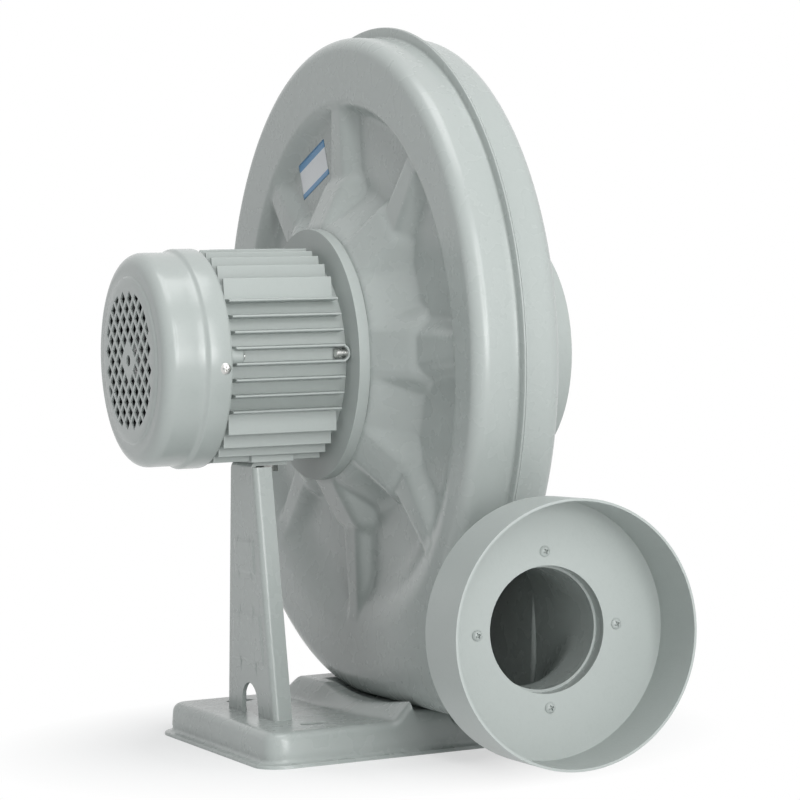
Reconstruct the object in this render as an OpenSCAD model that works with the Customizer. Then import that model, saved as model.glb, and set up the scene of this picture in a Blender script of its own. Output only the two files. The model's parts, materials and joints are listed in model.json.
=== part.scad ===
// Medium pressure centrifugal blower with a flange motor, a base tray and two duct collars.
// Millimetres. X points where the air leaves, Y from the motor to the inlet, Z up.
// The origin lies on the floor at the middle of the base tray.

/* [Base tray] */
// Width of the tray along X, over its foot rim
base_w = 195; // [185:1:230]
// Length of the tray along Y, over its foot rim
base_l = 195; // [190:1:240]
// Height of the tray's top plate above the floor
base_h = 20.5; // [16:0.5:30]
// Thickness of the tray's sheet
base_sheet = 2; // [1.5:0.1:3]
// Width of the flared foot rim
base_rim = 5; // [3:0.5:8]
// Corner radius of the tray, seen from above
base_corner = 13; // [10:1:20]
// Radius of the tray's upper edge
base_edge = 5; // [3:0.5:7]
// Distance between the slot rows along X
slot_pitch_x = 128; // [110:1:136]
// Distance between the slot rows along Y
slot_pitch_y = 128; // [122:1:134]
// Offset of the slot pattern's middle from the tray's middle along Y
slot_shift = 13; // [11:0.5:15]
// Overall length of a mounting slot along Y
slot_len = 18; // [12:0.5:20]
// Width of a mounting slot
slot_w = 8; // [5:0.5:9]
// Height of the saddle's shoulders above the tray
saddle_rise = 12; // [8:0.5:16]
// Run of the saddle's sloping faces along Y
saddle_slope = 12; // [6:0.5:14]

/* [Scroll housing] */
// Radius of the first quarter of the scroll
scroll_r = 201.5; // [194:0.5:210]
// Growth of the scroll's radius from one quarter to the next
scroll_step = 7.5; // [5:0.5:9]
// Place of the first quarter's centre along X, from the motor axis
scroll_cx = -4; // [-6:0.5:-2]
// Height of the first quarter's centre over the motor axis
scroll_cz = 2; // [0:0.5:4]
// Thickness of the housing's sheet
wall = 1.5; // [1:0.1:2]
// Radius of the housing's rounded outer edges
edge_r = 9; // [6:0.5:11]
// Width of the seam lip
lip_w = 5; // [3:0.5:7]
// Distance of the seam plane from the tray's middle along Y
seam_y = 35; // [33:0.5:37]
// Depth of the front shell from the seam to its ring face
front_depth = 32; // [29:0.5:34]
// Depth of the rear shell from the seam to its back
rear_depth = 24.5; // [22:0.5:27]
// Height of the housing's bottom over the tray's top plate
housing_clear = 3.5; // [2:0.5:6]
// Gap between the housing and the saddle
housing_gap = 0.3; // [0.2:0.1:0.6]

/* [Front shell pressing] */
// Radius of the recess at the ring face
recess_r = 165; // [155:1:170]
// Drop of the recess centre below the motor axis
recess_drop = 5; // [2:0.5:6]
// Depth of the recess floor behind the ring face
recess_depth = 10; // [7:0.5:12]
// Radial run of the recess wall
recess_run = 11; // [8:0.5:14]
// Rise of the hub face in front of the ring face
hub_rise = 15; // [12:0.5:18]
// Radius of the hub cone at its face
hub_face_r = 82; // [81:0.5:88]
// Radius of the hub cone at the recess floor
hub_foot_r = 104; // [100:1:110]
// Number of ribs across the recess
rib_n = 8; // [6:1:10]
// Width of a rib's flat top at the hub
rib_top_in = 32; // [24:1:36]
// Width of a rib's flat top at the ring
rib_top_out = 22; // [14:1:26]
// Sideways run of a rib's flank
rib_flank = 9; // [6:0.5:11]

/* [Outlet] */
// Distance of the mouth of the shells from the motor axis
mouth_x = 150; // [140:1:155]
// Radius of the tongue at the mouth
tongue_r = 1.5; // [1:0.5:4]
// Drop of the outlet centre below the motor axis
outlet_drop = 160; // [155:1:165]
// Offset of the outlet centre from the seam plane, towards the motor
outlet_shift = 12; // [9:0.5:14]
// Distance of the collar's plate beyond the right side of the housing
outlet_stub = 34.5; // [30:0.5:45]
// Outer radius of the outlet pipe
pipe_r = 37.5; // [34:0.5:40]
// Length of the straight outlet pipe
pipe_l = 28; // [22:1:30]

/* [Duct collars] */
// Outer radius of both duct collars
collar_r = 75; // [68:0.5:80]
// Free depth of a collar in front of its plate
collar_depth = 37; // [25:1:50]
// Thickness of the collars' sheet
collar_sheet = 1.5; // [1:0.1:2]
// Pitch radius of the outlet collar's screws
outlet_screw_r = 44; // [43:0.5:46]
// Radius of the inlet opening
inlet_r = 50; // [48:0.5:52]
// Pitch radius of the inlet collar's screws
inlet_screw_r = 61; // [59:0.5:63]
// Length of the inlet neck behind the housing
neck_l = 32.5; // [28:0.5:40]

/* [Motor] */
// Radius of the motor's flange
flange_r = 80; // [76:0.5:80]
// Thickness of the flange
flange_t = 7.2; // [6.5:0.1:9]
// Radius of the centring spigot
spigot_r = 55; // [52:0.5:56]
// Pitch radius of the flange bolts
flange_bolt_r = 65; // [64:0.5:66]
// Radius over the fin tips
fin_r = 68; // [66:0.5:70]
// Outer radius of the barrel under the fins
barrel_r = 59.5; // [59:0.5:60.5]
// Wall of the barrel
barrel_wall = 3.5; // [3:0.1:4.5]
// Length of the barrel
barrel_l = 78; // [76:1:90]
// Thickness of a fin
fin_t = 2.2; // [1.5:0.1:3]
// Distance between neighbouring fins
fin_pitch = 9.67; // [8.5:0.1:10.5]
// Distance of the stand's pad below the motor axis
pad_drop = 66; // [65.5:0.1:67.5]

/* [Rotor] */
// Radius of the shaft nose in the impeller
nose_r = 7; // [6:0.5:7]
// Length of the shaft nose in front of the hub face
nose_l = 29.5; // [27:0.5:33]
// Radius of the bearing journals
journal_r = 7.5; // [7.5:0.5:8]
// Radius of the shaft between the bearings
shaft_r = 9.5; // [9.5:0.5:11]
// Radius of the rotor core
rotor_r = 31.5; // [28:0.5:34]
// Length of the rotor and stator cores
core_l = 42; // [36:1:43]
// Air gap between rotor and stator
air_gap = 0.3; // [0.3:0.05:0.6]

/* [Bearings] */
// Outer radius of a bearing
bearing_r = 17.5; // [17:0.5:18.5]
// Width of a bearing
bearing_w = 11; // [10:0.5:12]
// Number of balls in a bearing
ball_n = 8; // [6:1:9]

/* [Impeller] */
// Outer radius of the impeller
wheel_r = 160; // [150:1:165]
// Width of the impeller at its rim
wheel_w = 23; // [18:0.5:25]
// Width of the impeller at its eye
eye_w = 33; // [30:0.5:34]
// Number of impeller blades
blade_n = 12; // [8:1:16]
// Thickness of the impeller's sheet
wheel_sheet = 1.5; // [1:0.1:2]
// Radius of the impeller's hub
boss_r = 20; // [16:0.5:22]

/* [Fan cover] */
// Radius of the cover's drum
cover_r = 66.5; // [65:0.5:66.5]
// Radius of the raised band at the cover's open end
band_r = 68.6; // [68.6:0.1:69.5]
// Width of the raised band
band_w = 14; // [12:0.5:17]
// Length of the cover
cover_l = 42; // [40:0.5:48]
// Thickness of the cover's sheet
cover_sheet = 1.2; // [0.8:0.1:1.3]
// Radius of the cover's front edge
cover_edge = 9; // [6:0.5:10]
// Radius of the round bead on the cover's front
bead_r = 53; // [50:0.5:54]
// Radius of the grille field
grille_r = 47; // [40:0.5:48]
// Distance between grille holes along X
grille_px = 10.1; // [9:0.1:12]
// Distance between grille holes along Z
grille_pz = 13.4; // [12:0.1:15]
// Width of the bars between grille holes
grille_bar = 2; // [1.5:0.1:3]
// Number of blades of the cooling fan
fan_n = 7; // [5:1:9]
// Outer radius of the cooling fan
fan_r = 58; // [50:0.5:61]

/* [Motor stand] */
// Distance of the stand's web from the tray's middle along Y, towards the motor
stand_y = 68.4; // [66:0.1:72]
// Half width of the stand at its foot
stand_foot = 41; // [36:0.5:46]
// Half width of the stand at its top
stand_top = 21; // [20:0.5:24]
// Depth of the stand's side flanges
stand_flange = 12; // [9:0.5:16]
// Thickness of the stand's sheet
stand_sheet = 2.5; // [2:0.1:3]
// Radius of the arch between the feet
arch_r = 14; // [10:0.5:18]

/* [Terminal box] */
// Length of the box along Y
box_l = 50; // [44:1:50]
// Height of the box along Z
box_h = 52; // [46:1:56]
// Depth of the box along X
box_d = 26; // [20:1:34]
// Thickness of the lid
lid_t = 5; // [3:0.5:8]
// Wall of the box
box_wall = 2.5; // [2:0.1:4]

/* [Hidden] */
$fn = 96;

paint = [0.68, 0.71, 0.70];
steel = [0.62, 0.63, 0.64];
zinc = [0.74, 0.74, 0.72];
copper = [0.72, 0.42, 0.22];
dark = [0.16, 0.17, 0.18];
eps = 0.01;
fit = 0.1;
slide = 0.05;

// Heights and places of the scroll
r1 = scroll_r;
r2 = scroll_r + scroll_step;
r3 = scroll_r + 2 * scroll_step;
c1 = [scroll_cx, scroll_cz];
c2 = [scroll_cx, scroll_cz - scroll_step];
c3 = [scroll_cx + scroll_step, scroll_cz - scroll_step];
scroll_drop = r3 - c3[1];
axis_h = base_h + housing_clear + scroll_drop;

// Places along the motor axis, as Y
face_y = seam_y - front_depth;
floor_y = face_y + recess_depth;
hub_y = face_y - hub_rise;
back_y = seam_y + rear_depth;
neck_y = back_y + neck_l;
motor_y = hub_y - flange_t;
barrel_end = motor_y - barrel_l;
fin_front = motor_y - 3.8;
fin_back = barrel_end + 3.5;
shield_disc = barrel_end - 6.8;
shield_t = 4;
front_bearing = motor_y - 5 - bearing_w;
rear_bearing = shield_disc;
core_mid = (front_bearing + rear_bearing + bearing_w) / 2 + 1;
cover_front = barrel_end - cover_l;

// Outlet
outlet_x = scroll_cx + scroll_r + outlet_stub;
outlet_y = seam_y - outlet_shift;
outlet_z = axis_h - outlet_drop;
pipe_x = outlet_x - collar_sheet - pipe_l;
pipe_wall = 1.5;
pipe_flange_r = outlet_screw_r + 7;
pipe_step = 7;

// Bends of the pressed sheets
bend_r = 5;
bend_end = 5;
neck_r = inlet_screw_r + 9;
neck_foot_r = 110;
nozzle_flange_r = inlet_screw_r + 6;

// Impeller
wheel_y = floor_y + wall + 4;
nose_end = hub_y + nose_l;
boss_flange_r = 38;
boss_flange_t = 4;
rivet_r = 30;
rivet_n = 6;
eye_r = inlet_r - 1.5;
blade_in = eye_r + 4;
key_w = 5;
key_l = 18;
key_h = 5;
key_y = hub_y + 7;

// Small fasteners
m4_head = 4;
m4_shank = 2;
pan_rim = 0.8;
pan_shoulder = 1.7;
pan_h = 2.2;
outlet_screw_l = 7;
inlet_screw_l = 8;
lid_grip = 5;
lid_screw_in = 6;
m5_head = 3.6;
m5_head_h = 3;
m5_front_head_h = 4;
m5_shank = 2.45;
m6_shank = 2.95;
m8_shank = 3.9;
m8_head = 7.5;
m8_head_h = 5.3;
boss_front_r = barrel_r + 4;
boss_back_r = barrel_r + 1;
screw_boss_r = 5.5;
screw_boss_l = 11;
screw_bite = 10;
flange_bite = 5;
cover_screw_angles = [-6, 114, 234];
cover_screw_y = barrel_end - 5;
cover_screw_l = 4;
cover_hole_l = 20;
flange_bolt_angles = [45, 135, 225, 315];
stand_bolt_x = 10;
tab_l = 24;
pad_w = 48;
rim_r = band_r - cover_sheet - fit;
register_l = 4;
register_wall = 4;
cup_wall = 4;
cup_gap = 2.9;
cup_r = boss_back_r - m5_head - cup_gap;
bead_t = 1.3;

// Points along a circle from one angle to another
function arc(c, r, a0, a1, n = 8) =
    [for (i = [0:n]) c + r * [cos(a0 + (a1 - a0) * i / n), sin(a0 + (a1 - a0) * i / n)]];

// Put a shape whose Z axis points at the motor on the axis at a given Y
module on_axis(y) translate([0, y, axis_h]) rotate([90, 0, 0]) children();

// Turn a profile, drawn as radius and Y, about the motor axis
module turned() on_axis(0) rotate_extrude($fn = 120) mirror([0, 1, 0]) children();

// Quarter of a ring: 0 lies right and up of its centre, 1 left and up, 2 left and down, 3 right and down
module bend(c, r, t, q)
    translate(c) rotate(90 * q) intersection() {
        difference() {
            circle(r = r);
            circle(r = r - t);
        }
        square(r + 1);
    }

// Points of a round corner of radius r at b, on the way from a to c
function unit(v) = v / norm(v);
function heading(v) = atan2(v[1], v[0]);
function corner(a, b, c, r, n = 6) =
    let (u = unit(a - b), v = unit(c - b), half = acos(u * v) / 2,
         m = b + unit(u + v) * r / sin(half),
         a0 = heading(b + u * r / tan(half) - m), a1 = heading(b + v * r / tan(half) - m))
    arc(m, r, a0, a0 + (a1 - a0 + 540) % 360 - 180, n);

// Section of a sheet that steps from a high level to a low one, with round bends and flat ends
module step_section(high, low, high_end, low_end, bend_r) {
    s = sign(low[0] - high[0]);
    turn = atan2(high[1] - low[1], abs(low[0] - high[0]));
    back = [-s * wall * tan(turn / 2), -wall];
    a = [high_end, high[1]];
    d = [low_end, low[1]];
    down = [0, -wall];
    polygon(concat(
        [a], corner(a, high, low, bend_r), corner(high, low, d, bend_r), [d],
        [d + down], corner(d + down, low + back, high + back, bend_r + wall),
        corner(low + back, high + back, a + down, bend_r - wall), [a + down]));
}

// Ring about the motor axis between two Y places
module ring(y0, y1, outer, inner)
    on_axis(y1) difference() {
        cylinder(h = y1 - y0, r = outer);
        translate([0, 0, -1]) cylinder(h = y1 - y0 + 2, r = inner);
    }

// Rod about the motor axis between two Y places
module rod(y0, y1, r) on_axis(y1) cylinder(h = y1 - y0, r = r);

// Copies on a circle about the motor axis, by angle from X towards Z
module around(angles, r) for (a = angles) on_axis(0) rotate([0, 0, a]) translate([r, 0, 0]) children();

// Thin bar parallel to the motor axis at each angle, between two Y places
module pins(angles, pitch_r, y0, y1, r, sides = 32)
    around(angles, pitch_r) translate([0, 0, -y1]) cylinder(h = y1 - y0, r = r, $fn = sides);

// Four equal steps about a circle
quarters = [0, 90, 180, 270];

// Block with round upright corners
module round_block(w, l, h, r) {
    translate([-w / 2 + r, -l / 2, 0]) cube([w - 2 * r, l, h]);
    translate([-w / 2, -l / 2 + r, 0]) cube([w, l - 2 * r, h]);
    for (x = [-1, 1], y = [-1, 1])
        translate([x * (w / 2 - r), y * (l / 2 - r), 0]) cylinder(h = h, r = r);
}

// Tray body with round corners and a round upper edge
module tray_form(w, l, h, corner, edge)
    hull() {
        for (x = [-1, 1], y = [-1, 1]) {
            translate([x * (w / 2 - corner), y * (l / 2 - corner), 0])
                cylinder(h = 1, r = corner, $fn = 32);
            translate([x * (w / 2 - corner - 1), y * (l / 2 - corner - 1), h - edge])
                rotate_extrude($fn = 32) intersection() {
                    translate([corner - edge, 0]) circle(r = edge, $fn = 32);
                    translate([0, -edge]) square([2 * corner, 2 * edge]);
                }
        }
    }

saddle_y0 = face_y - 1 - saddle_slope;
saddle_y1 = back_y + 4;
saddle_top = base_h + saddle_rise;
saddle_half = base_w / 2 - base_rim - 2;

// Saddle under the housing, inset by the sheet for its hollow
module saddle_form(inset)
    translate([saddle_half - inset, 0, 0]) rotate([0, -90, 0])
        linear_extrude(2 * (saddle_half - inset))
        polygon([[0, saddle_y0 + inset], [base_h, saddle_y0 + inset],
                 [saddle_top - inset, face_y - 1 + inset / 2],
                 [saddle_top - inset, saddle_y1 - 3 - inset],
                 [base_h, saddle_y1 - inset], [0, saddle_y1 - inset]]);

// Room for the housing and its seam lip in the saddle, grown by the sheet for its hollow
module trough(grow) {
    gap = housing_gap + grow;
    bottom = axis_h - scroll_drop;
    round_r = r3 + lip_w + gap;
    intersection() {
        translate([c3[0], base_l, axis_h + c3[1]]) rotate([90, 0, 0])
            cylinder(h = 2 * base_l, r = round_r, $fn = 180);
        translate([-base_w, -base_l, base_h - grow]) cube([2 * base_w, 2 * base_l, axis_h]);
    }
    translate([c3[0], face_y - gap, bottom - gap])
        cube([base_w, back_y - face_y + 2 * gap, axis_h]);
    translate([c3[0], seam_y + wall + gap, axis_h + c3[1]]) rotate([90, 0, 0])
        cylinder(h = 2 * (wall + gap), r = round_r, $fn = 180);
    translate([c3[0], seam_y - wall - gap, bottom - lip_w - gap])
        cube([base_w, 2 * (wall + gap), axis_h]);
}

module slot_cut(x, y)
    for (s = [-1, 1]) {
        translate([x, y + s * (slot_len - slot_w) / 2, -1])
            cylinder(h = base_h + 2, r = slot_w / 2);
        translate([x - slot_w / 2, y - (slot_len - slot_w) / 2, -1])
            cube([slot_w, slot_len - slot_w, base_h + 2]);
    }

module base_tray() color(paint) difference() {
    body_w = base_w - 2 * base_rim;
    body_l = base_l - 2 * base_rim;
    union() {
        round_block(base_w, base_l, base_sheet, base_corner + base_rim);
        tray_form(body_w, body_l, base_h, base_corner, base_edge);
        saddle_form(0);
    }
    trough(0);
    difference() {
        translate([0, 0, -eps]) union() {
            tray_form(body_w - 2 * base_sheet, body_l - 2 * base_sheet,
                      base_h - base_sheet + eps, base_corner - base_sheet,
                      base_edge - base_sheet);
            saddle_form(base_sheet);
        }
        trough(base_sheet);
    }
    for (x = [-1, 1], y = [-1, 1])
        slot_cut(x * slot_pitch_x / 2, slot_shift + y * slot_pitch_y / 2);
}

stand_z0 = base_h;
stand_z1 = axis_h - pad_drop;

// Outline of the stand's web, inset sideways for the channel's hollow
module stand_outline(inset)
    polygon([[-stand_foot + inset, stand_z0 - 1], [stand_foot - inset, stand_z0 - 1],
             [stand_foot - inset, stand_z0], [stand_top - inset, stand_z1],
             [-stand_top + inset, stand_z1], [-stand_foot + inset, stand_z0]]);

// Raised panel on the web, from a height range and a half width
module web_panel(z0, z1, half, rise)
    translate([0, -stand_y, (z0 + z1) / 2]) rotate([90, 0, 0])
        linear_extrude(rise) square([2 * half, z1 - z0], center = true);

module motor_stand() color(paint) difference() {
    union() {
        translate([0, -stand_y + stand_flange, 0]) rotate([90, 0, 0])
            linear_extrude(stand_flange) stand_outline(0);
        translate([-stand_top, -stand_y, stand_z1 - stand_sheet])
            cube([2 * stand_top, tab_l, stand_sheet]);
        web_panel(axis_h - 137, axis_h - 115, 16, 1);
        web_panel(axis_h - 192, axis_h - 162, 24, 1);
    }
    translate([0, -stand_y + stand_flange + 1, 0]) rotate([90, 0, 0])
        linear_extrude(stand_flange + 1 - stand_sheet)
        intersection() {
            stand_outline(stand_sheet);
            translate([-base_w, stand_z0 - 2])
                square([2 * base_w, stand_z1 - stand_z0 + 2 - stand_sheet]);
        }
    translate([-base_w, -base_l, -1]) cube([2 * base_w, 2 * base_l, base_h + 1]);
    translate([0, 0, stand_z0 + 6]) rotate([90, 0, 0])
        cylinder(h = 2 * base_l, r = arch_r, center = true);
    translate([-arch_r, -base_l, 0]) cube([2 * arch_r, 2 * base_l, stand_z0 + 6]);
    for (x = [-1, 1])
        translate([x * stand_bolt_x, -stand_y + tab_l - 9, stand_z1 - 5])
            cylinder(h = 10, r = m6_shank + fit);
}

module stand_bolts() color(zinc)
    for (x = [-1, 1]) translate([x * stand_bolt_x, -stand_y + tab_l - 9, 0]) {
        translate([0, 0, stand_z1 - stand_sheet - 4]) cylinder(h = 4, r = 5.5, $fn = 6);
        translate([0, 0, stand_z1 - stand_sheet - eps])
            cylinder(h = stand_sheet + 7, r = m6_shank, $fn = 32);
    }

// Round tongue between the first quarter and the top of the mouth
tongue_a = acos((mouth_x - c1[0]) / (r1 + tongue_r));
tongue = [mouth_x, c1[1] - (r1 + tongue_r) * sin(tongue_a)];
mouth_top = tongue[1] - tongue_r;
slit_a = 0.5;

// Flat end of the rim's section, which the face overlaps by half
rim_flat = 1;
face_in = edge_r + rim_flat / 2;

// Flat area of a shell's face, inside its round edge
module face_area() {
    big = 2 * scroll_r;
    difference() {
        union() {
            intersection() {
                translate(c1) circle(r = r1 - face_in, $fn = 180);
                translate([c1[0], -big]) square(2 * big);
            }
            intersection() {
                translate(c2) circle(r = r2 - face_in, $fn = 180);
                translate([c2[0] - big, c2[1]]) square(big);
            }
            intersection() {
                translate(c3) circle(r = r3 - face_in, $fn = 180);
                translate([c3[0] - big, c3[1] - big]) square(big);
            }
            translate([c3[0], face_in - scroll_drop])
                square([mouth_x - c3[0], scroll_drop + mouth_top - 2 * face_in - rim_flat / 4]);
            polygon([c1, tongue - [rim_flat / 2, 0], [mouth_x - rim_flat / 2, mouth_top - edge_r - 3],
                     [c1[0], mouth_top - edge_r - 3]]);
        }
        translate(tongue) circle(r = tongue_r + face_in);
    }
}

// Section of a shell's rim with its seam lip, as radius and height over the seam
module rim_section(r, depth)
    polygon(concat(
        [[r - wall, 0], [r + lip_w, 0], [r + lip_w, wall], [r, wall]],
        arc([r - edge_r, depth - edge_r], edge_r, 0, 90),
        [[r - edge_r - rim_flat, depth], [r - edge_r - rim_flat, depth - wall]],
        arc([r - edge_r, depth - edge_r], edge_r - wall, 90, 0)));

// Sweep a section about the centre of one quarter of the scroll
module quarter(c, a0, a1)
    translate([c[0], c[1], 0]) rotate([0, 0, a0]) rotate_extrude(angle = a1 - a0, $fn = 180)
        children();

// Run a section along the straight bottom to the mouth
module bottom_run()
    translate([c3[0], c3[1], 0]) rotate([0, 0, -90]) rotate([90, 0, 0])
        mirror([0, 0, 1]) linear_extrude(mouth_x - c3[0]) children();

// Round inner edge of a shell at the tongue, with a relief slit beside the rim
module tongue_edge(depth)
    translate([tongue[0], tongue[1], 0]) rotate([0, 0, 180 - tongue_a + slit_a])
        rotate_extrude(angle = 90 + tongue_a - slit_a)
        translate([tongue_r, 0]) polygon(concat(
            [[0, 0], [wall, 0]], arc([edge_r, depth - edge_r], edge_r - wall, 180, 90),
            [[edge_r + rim_flat, depth - wall], [edge_r + rim_flat, depth]],
            arc([edge_r, depth - edge_r], edge_r, 90, 180)));

// Rim of a shell along the scroll
module rim(depth) {
    quarter(c1, -tongue_a, 90) rim_section(r1, depth);
    quarter(c2, 90, 180) rim_section(r2, depth);
    quarter(c3, 180, 270) rim_section(r3, depth);
    bottom_run() rim_section(r3, depth);
    tongue_edge(depth);
}

// Flat face of a shell at its full depth, with a round opening
module shell_face(depth, hole_c, hole_r)
    translate([0, 0, depth - wall]) linear_extrude(wall) difference() {
        face_area();
        translate(hole_c) circle(r = hole_r, $fn = 180);
    }

// Rib with sloping flanks, lying along X from one radius to another
module rib_form(x0, x1, half0, half1, flank, z0, z1)
    polyhedron(
        points = [[x0, -half0 - flank, z0], [x0, half0 + flank, z0],
                  [x1, half1 + flank, z0], [x1, -half1 - flank, z0],
                  [x0, -half0, z1], [x0, half0, z1],
                  [x1, half1, z1], [x1, -half1, z1]],
        faces = [[0, 3, 2, 1], [4, 5, 6, 7], [0, 4, 7, 3],
                 [1, 2, 6, 5], [0, 1, 5, 4], [3, 7, 6, 2]]);

floor_h = front_depth - recess_depth;
hub_h = front_depth + hub_rise;
floor_r = recess_r - recess_run;
rib_h = front_depth - 0.4;

// Distance from the motor axis to the recess edge in a direction
function rib_end(a) = recess_r - recess_drop * sin(a) + 1;

module front_shell() color(paint) on_axis(seam_y) difference() {
    union() {
        rim(front_depth);
        shell_face(front_depth, [0, -recess_drop], recess_r + bend_end - 1);
        translate([0, -recess_drop, 0]) rotate_extrude($fn = 180)
            step_section([recess_r, front_depth], [floor_r, floor_h],
                         recess_r + bend_end, floor_r - bend_end, bend_r);
        translate([0, 0, floor_h - wall]) linear_extrude(wall) difference() {
            translate([0, -recess_drop]) circle(r = floor_r - bend_end + 1, $fn = 180);
            circle(r = hub_foot_r + bend_end, $fn = 180);
        }
        rotate_extrude($fn = 180)
            step_section([hub_face_r, hub_h], [hub_foot_r, floor_h],
                         spigot_r + fit, hub_foot_r + bend_end + 1, bend_r + 2);
        for (i = [0:rib_n - 1]) rotate([0, 0, i * 360 / rib_n])
            rib_form(hub_foot_r - 9, rib_end(i * 360 / rib_n), rib_top_in / 2,
                     rib_top_out / 2, rib_flank, floor_h - wall / 2, rib_h);
    }
    for (i = [0:rib_n - 1]) rotate([0, 0, i * 360 / rib_n])
        rib_form(hub_foot_r - 14, rib_end(i * 360 / rib_n) + 2, (rib_top_in - wall) / 2,
                 (rib_top_out - wall) / 2, rib_flank, floor_h - wall - 1, rib_h - wall);
    for (a = flange_bolt_angles) rotate([0, 0, a]) translate([flange_bolt_r, 0, hub_h - 5])
        cylinder(h = 10, r = m8_shank + 0.3, $fn = 32);
}

module rear_shell() color(paint) difference() {
    translate([0, seam_y, axis_h]) rotate([90, 0, 0]) mirror([0, 0, 1]) {
        rim(rear_depth);
        shell_face(rear_depth, [0, 0], neck_foot_r + bend_end);
        rotate_extrude($fn = 180)
            step_section([neck_r, neck_y - seam_y], [neck_foot_r, rear_depth],
                         inlet_r + 6, neck_foot_r + bend_end + 1, bend_r + 3);
    }
    pins(quarters, inlet_screw_r, neck_y - 5, neck_y + 1, m4_shank + fit);
}

// Form of the throat from the shells' mouth to the round pipe, and of its hollow
module throat_form(inset, end_r, start_x, end_x) {
    z_top = axis_h + mouth_top - inset;
    z_bot = axis_h - scroll_drop + inset;
    r = edge_r - inset;
    hull() {
        for (y = [face_y + inset + r, back_y - inset - r], z = [z_bot + r, z_top - r])
            translate([start_x, y, z]) rotate([0, 90, 0])
                cylinder(h = mouth_x + 1 - start_x, r = r, $fn = 32);
        x_disc(pipe_x - 1, end_x, end_r, 64);
    }
}

// Disc about the outlet's axis
module x_disc(x0, x1, r, sides = 96)
    translate([x0, outlet_y, outlet_z]) rotate([0, 90, 0]) cylinder(h = x1 - x0, r = r, $fn = sides);

plate_x = outlet_x - collar_sheet;
pipe_bore = pipe_r - 2 * pipe_wall;

module outlet_throat() color(paint) difference() {
    union() {
        throat_form(0, pipe_r - 0.5, mouth_x, pipe_x + 1);
        x_disc(pipe_x, plate_x, pipe_r);
        x_disc(plate_x - pipe_wall, plate_x, pipe_flange_r);
    }
    throat_form(pipe_wall, pipe_bore - 0.5, mouth_x - 1, pipe_x + 1);
    x_disc(pipe_x, plate_x + 1, pipe_bore);
    x_disc(plate_x - pipe_step, plate_x + 2, pipe_r - pipe_wall);
    outlet_pattern() cylinder(h = 20, r = m4_shank + fit, $fn = 32, center = true);
    translate([mouth_x - 1, seam_y - wall - fit, axis_h + mouth_top - 1.1])
        cube([lip_w, 2 * (wall + fit), 3]);
}

// Children at the four screws of the outlet collar, pointing along X
module outlet_pattern()
    translate([plate_x, outlet_y, outlet_z]) rotate([0, 90, 0])
        for (a = quarters) rotate([0, 0, a]) translate([outlet_screw_r, 0, 0]) children();

// Round collar with a ring plate at its back, opening along Z
module duct_collar(hole_r, screw_r) difference() {
    cylinder(h = collar_depth + collar_sheet, r = collar_r, $fn = 180);
    translate([0, 0, collar_sheet])
        cylinder(h = collar_depth + 1, r = collar_r - collar_sheet, $fn = 180);
    translate([0, 0, -1]) cylinder(h = collar_sheet + 2, r = hole_r);
    for (a = quarters) rotate([0, 0, a]) translate([screw_r, 0, -1])
        cylinder(h = collar_sheet + 2, r = m4_shank + fit, $fn = 32);
}

// Pan head screw that points down from the plane Z = 0
module pan_screw(head_r, shank_r, length) {
    rotate_extrude($fn = 32)
        polygon([[0, 0], [head_r, 0], [head_r, pan_rim], [head_r * 0.75, pan_shoulder], [0, pan_h]]);
    translate([0, 0, -length]) cylinder(h = length + eps, r = shank_r, $fn = 32);
}

module outlet_collar() color(paint)
    translate([plate_x, outlet_y, outlet_z]) rotate([0, 90, 0])
        duct_collar(pipe_r - pipe_wall, outlet_screw_r);

module outlet_screws() color(paint)
    outlet_pattern() translate([0, 0, collar_sheet]) pan_screw(m4_head, m4_shank, outlet_screw_l);

module inlet_collar() color(paint)
    translate([0, neck_y, axis_h]) rotate([-90, 0, 0]) duct_collar(inlet_r, inlet_screw_r);

module inlet_screws() color(paint)
    for (a = quarters) translate([0, neck_y + collar_sheet, axis_h]) rotate([-90, 0, 0])
        rotate([0, 0, a]) translate([inlet_screw_r, 0, 0]) pan_screw(m4_head, m4_shank, inlet_screw_l);

nozzle_tip = wheel_y + wheel_sheet + eye_w - 2;
nozzle_y = neck_y - 2 * wall;
nozzle_in = inlet_r - 4;

// Inlet nozzle, a flat flange with a round throat that dips into the impeller's eye
module inlet_nozzle() color(zinc) difference() {
    turned() {
        translate([inlet_r + 4, nozzle_y]) square([nozzle_flange_r - inlet_r - 4, wall]);
        bend([inlet_r + 4, nozzle_y + wall - 8], 8, wall, 1);
        translate([nozzle_in, nozzle_tip]) square([wall, nozzle_y + wall - 8 - nozzle_tip]);
    }
    pins(quarters, inlet_screw_r, nozzle_y - 1, neck_y, m4_shank + fit);
}

module motor_flange() color(paint) difference() {
    union() {
        rod(motor_y, hub_y, flange_r);
        rod(hub_y - eps, hub_y + 3.5, spigot_r);
        rod(front_bearing - 1, motor_y + eps, bearing_r + 4.5);
        ring(motor_y - register_l, motor_y + eps, barrel_r - barrel_wall - slide,
             barrel_r - barrel_wall - register_wall);
    }
    rod(front_bearing - 2, front_bearing + bearing_w, bearing_r + slide);
    rod(front_bearing, hub_y + 5, journal_r + 1);
    pins(flange_bolt_angles, flange_bolt_r, motor_y + 1, hub_y + 1, m8_shank + fit);
    pins(quarters, boss_front_r, motor_y - 1, motor_y + 6, m5_shank + fit);
}

module flange_bolts() color(zinc) {
    pins(flange_bolt_angles, flange_bolt_r, motor_y + 1.5, hub_y + wall + eps, m8_shank);
    pins(flange_bolt_angles, flange_bolt_r, hub_y + wall, hub_y + wall + m8_head_h, m8_head, 6);
}

// Fins of one side, as strips that run out to the fin circle
module fin_strips()
    for (i = [-3.5:1:3.5])
        translate([0, i * fin_pitch - fin_t / 2]) square([fin_r, fin_t]);

box_x = -pad_drop;
box_y = (fin_front + fin_back) / 2 - 2;

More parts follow.
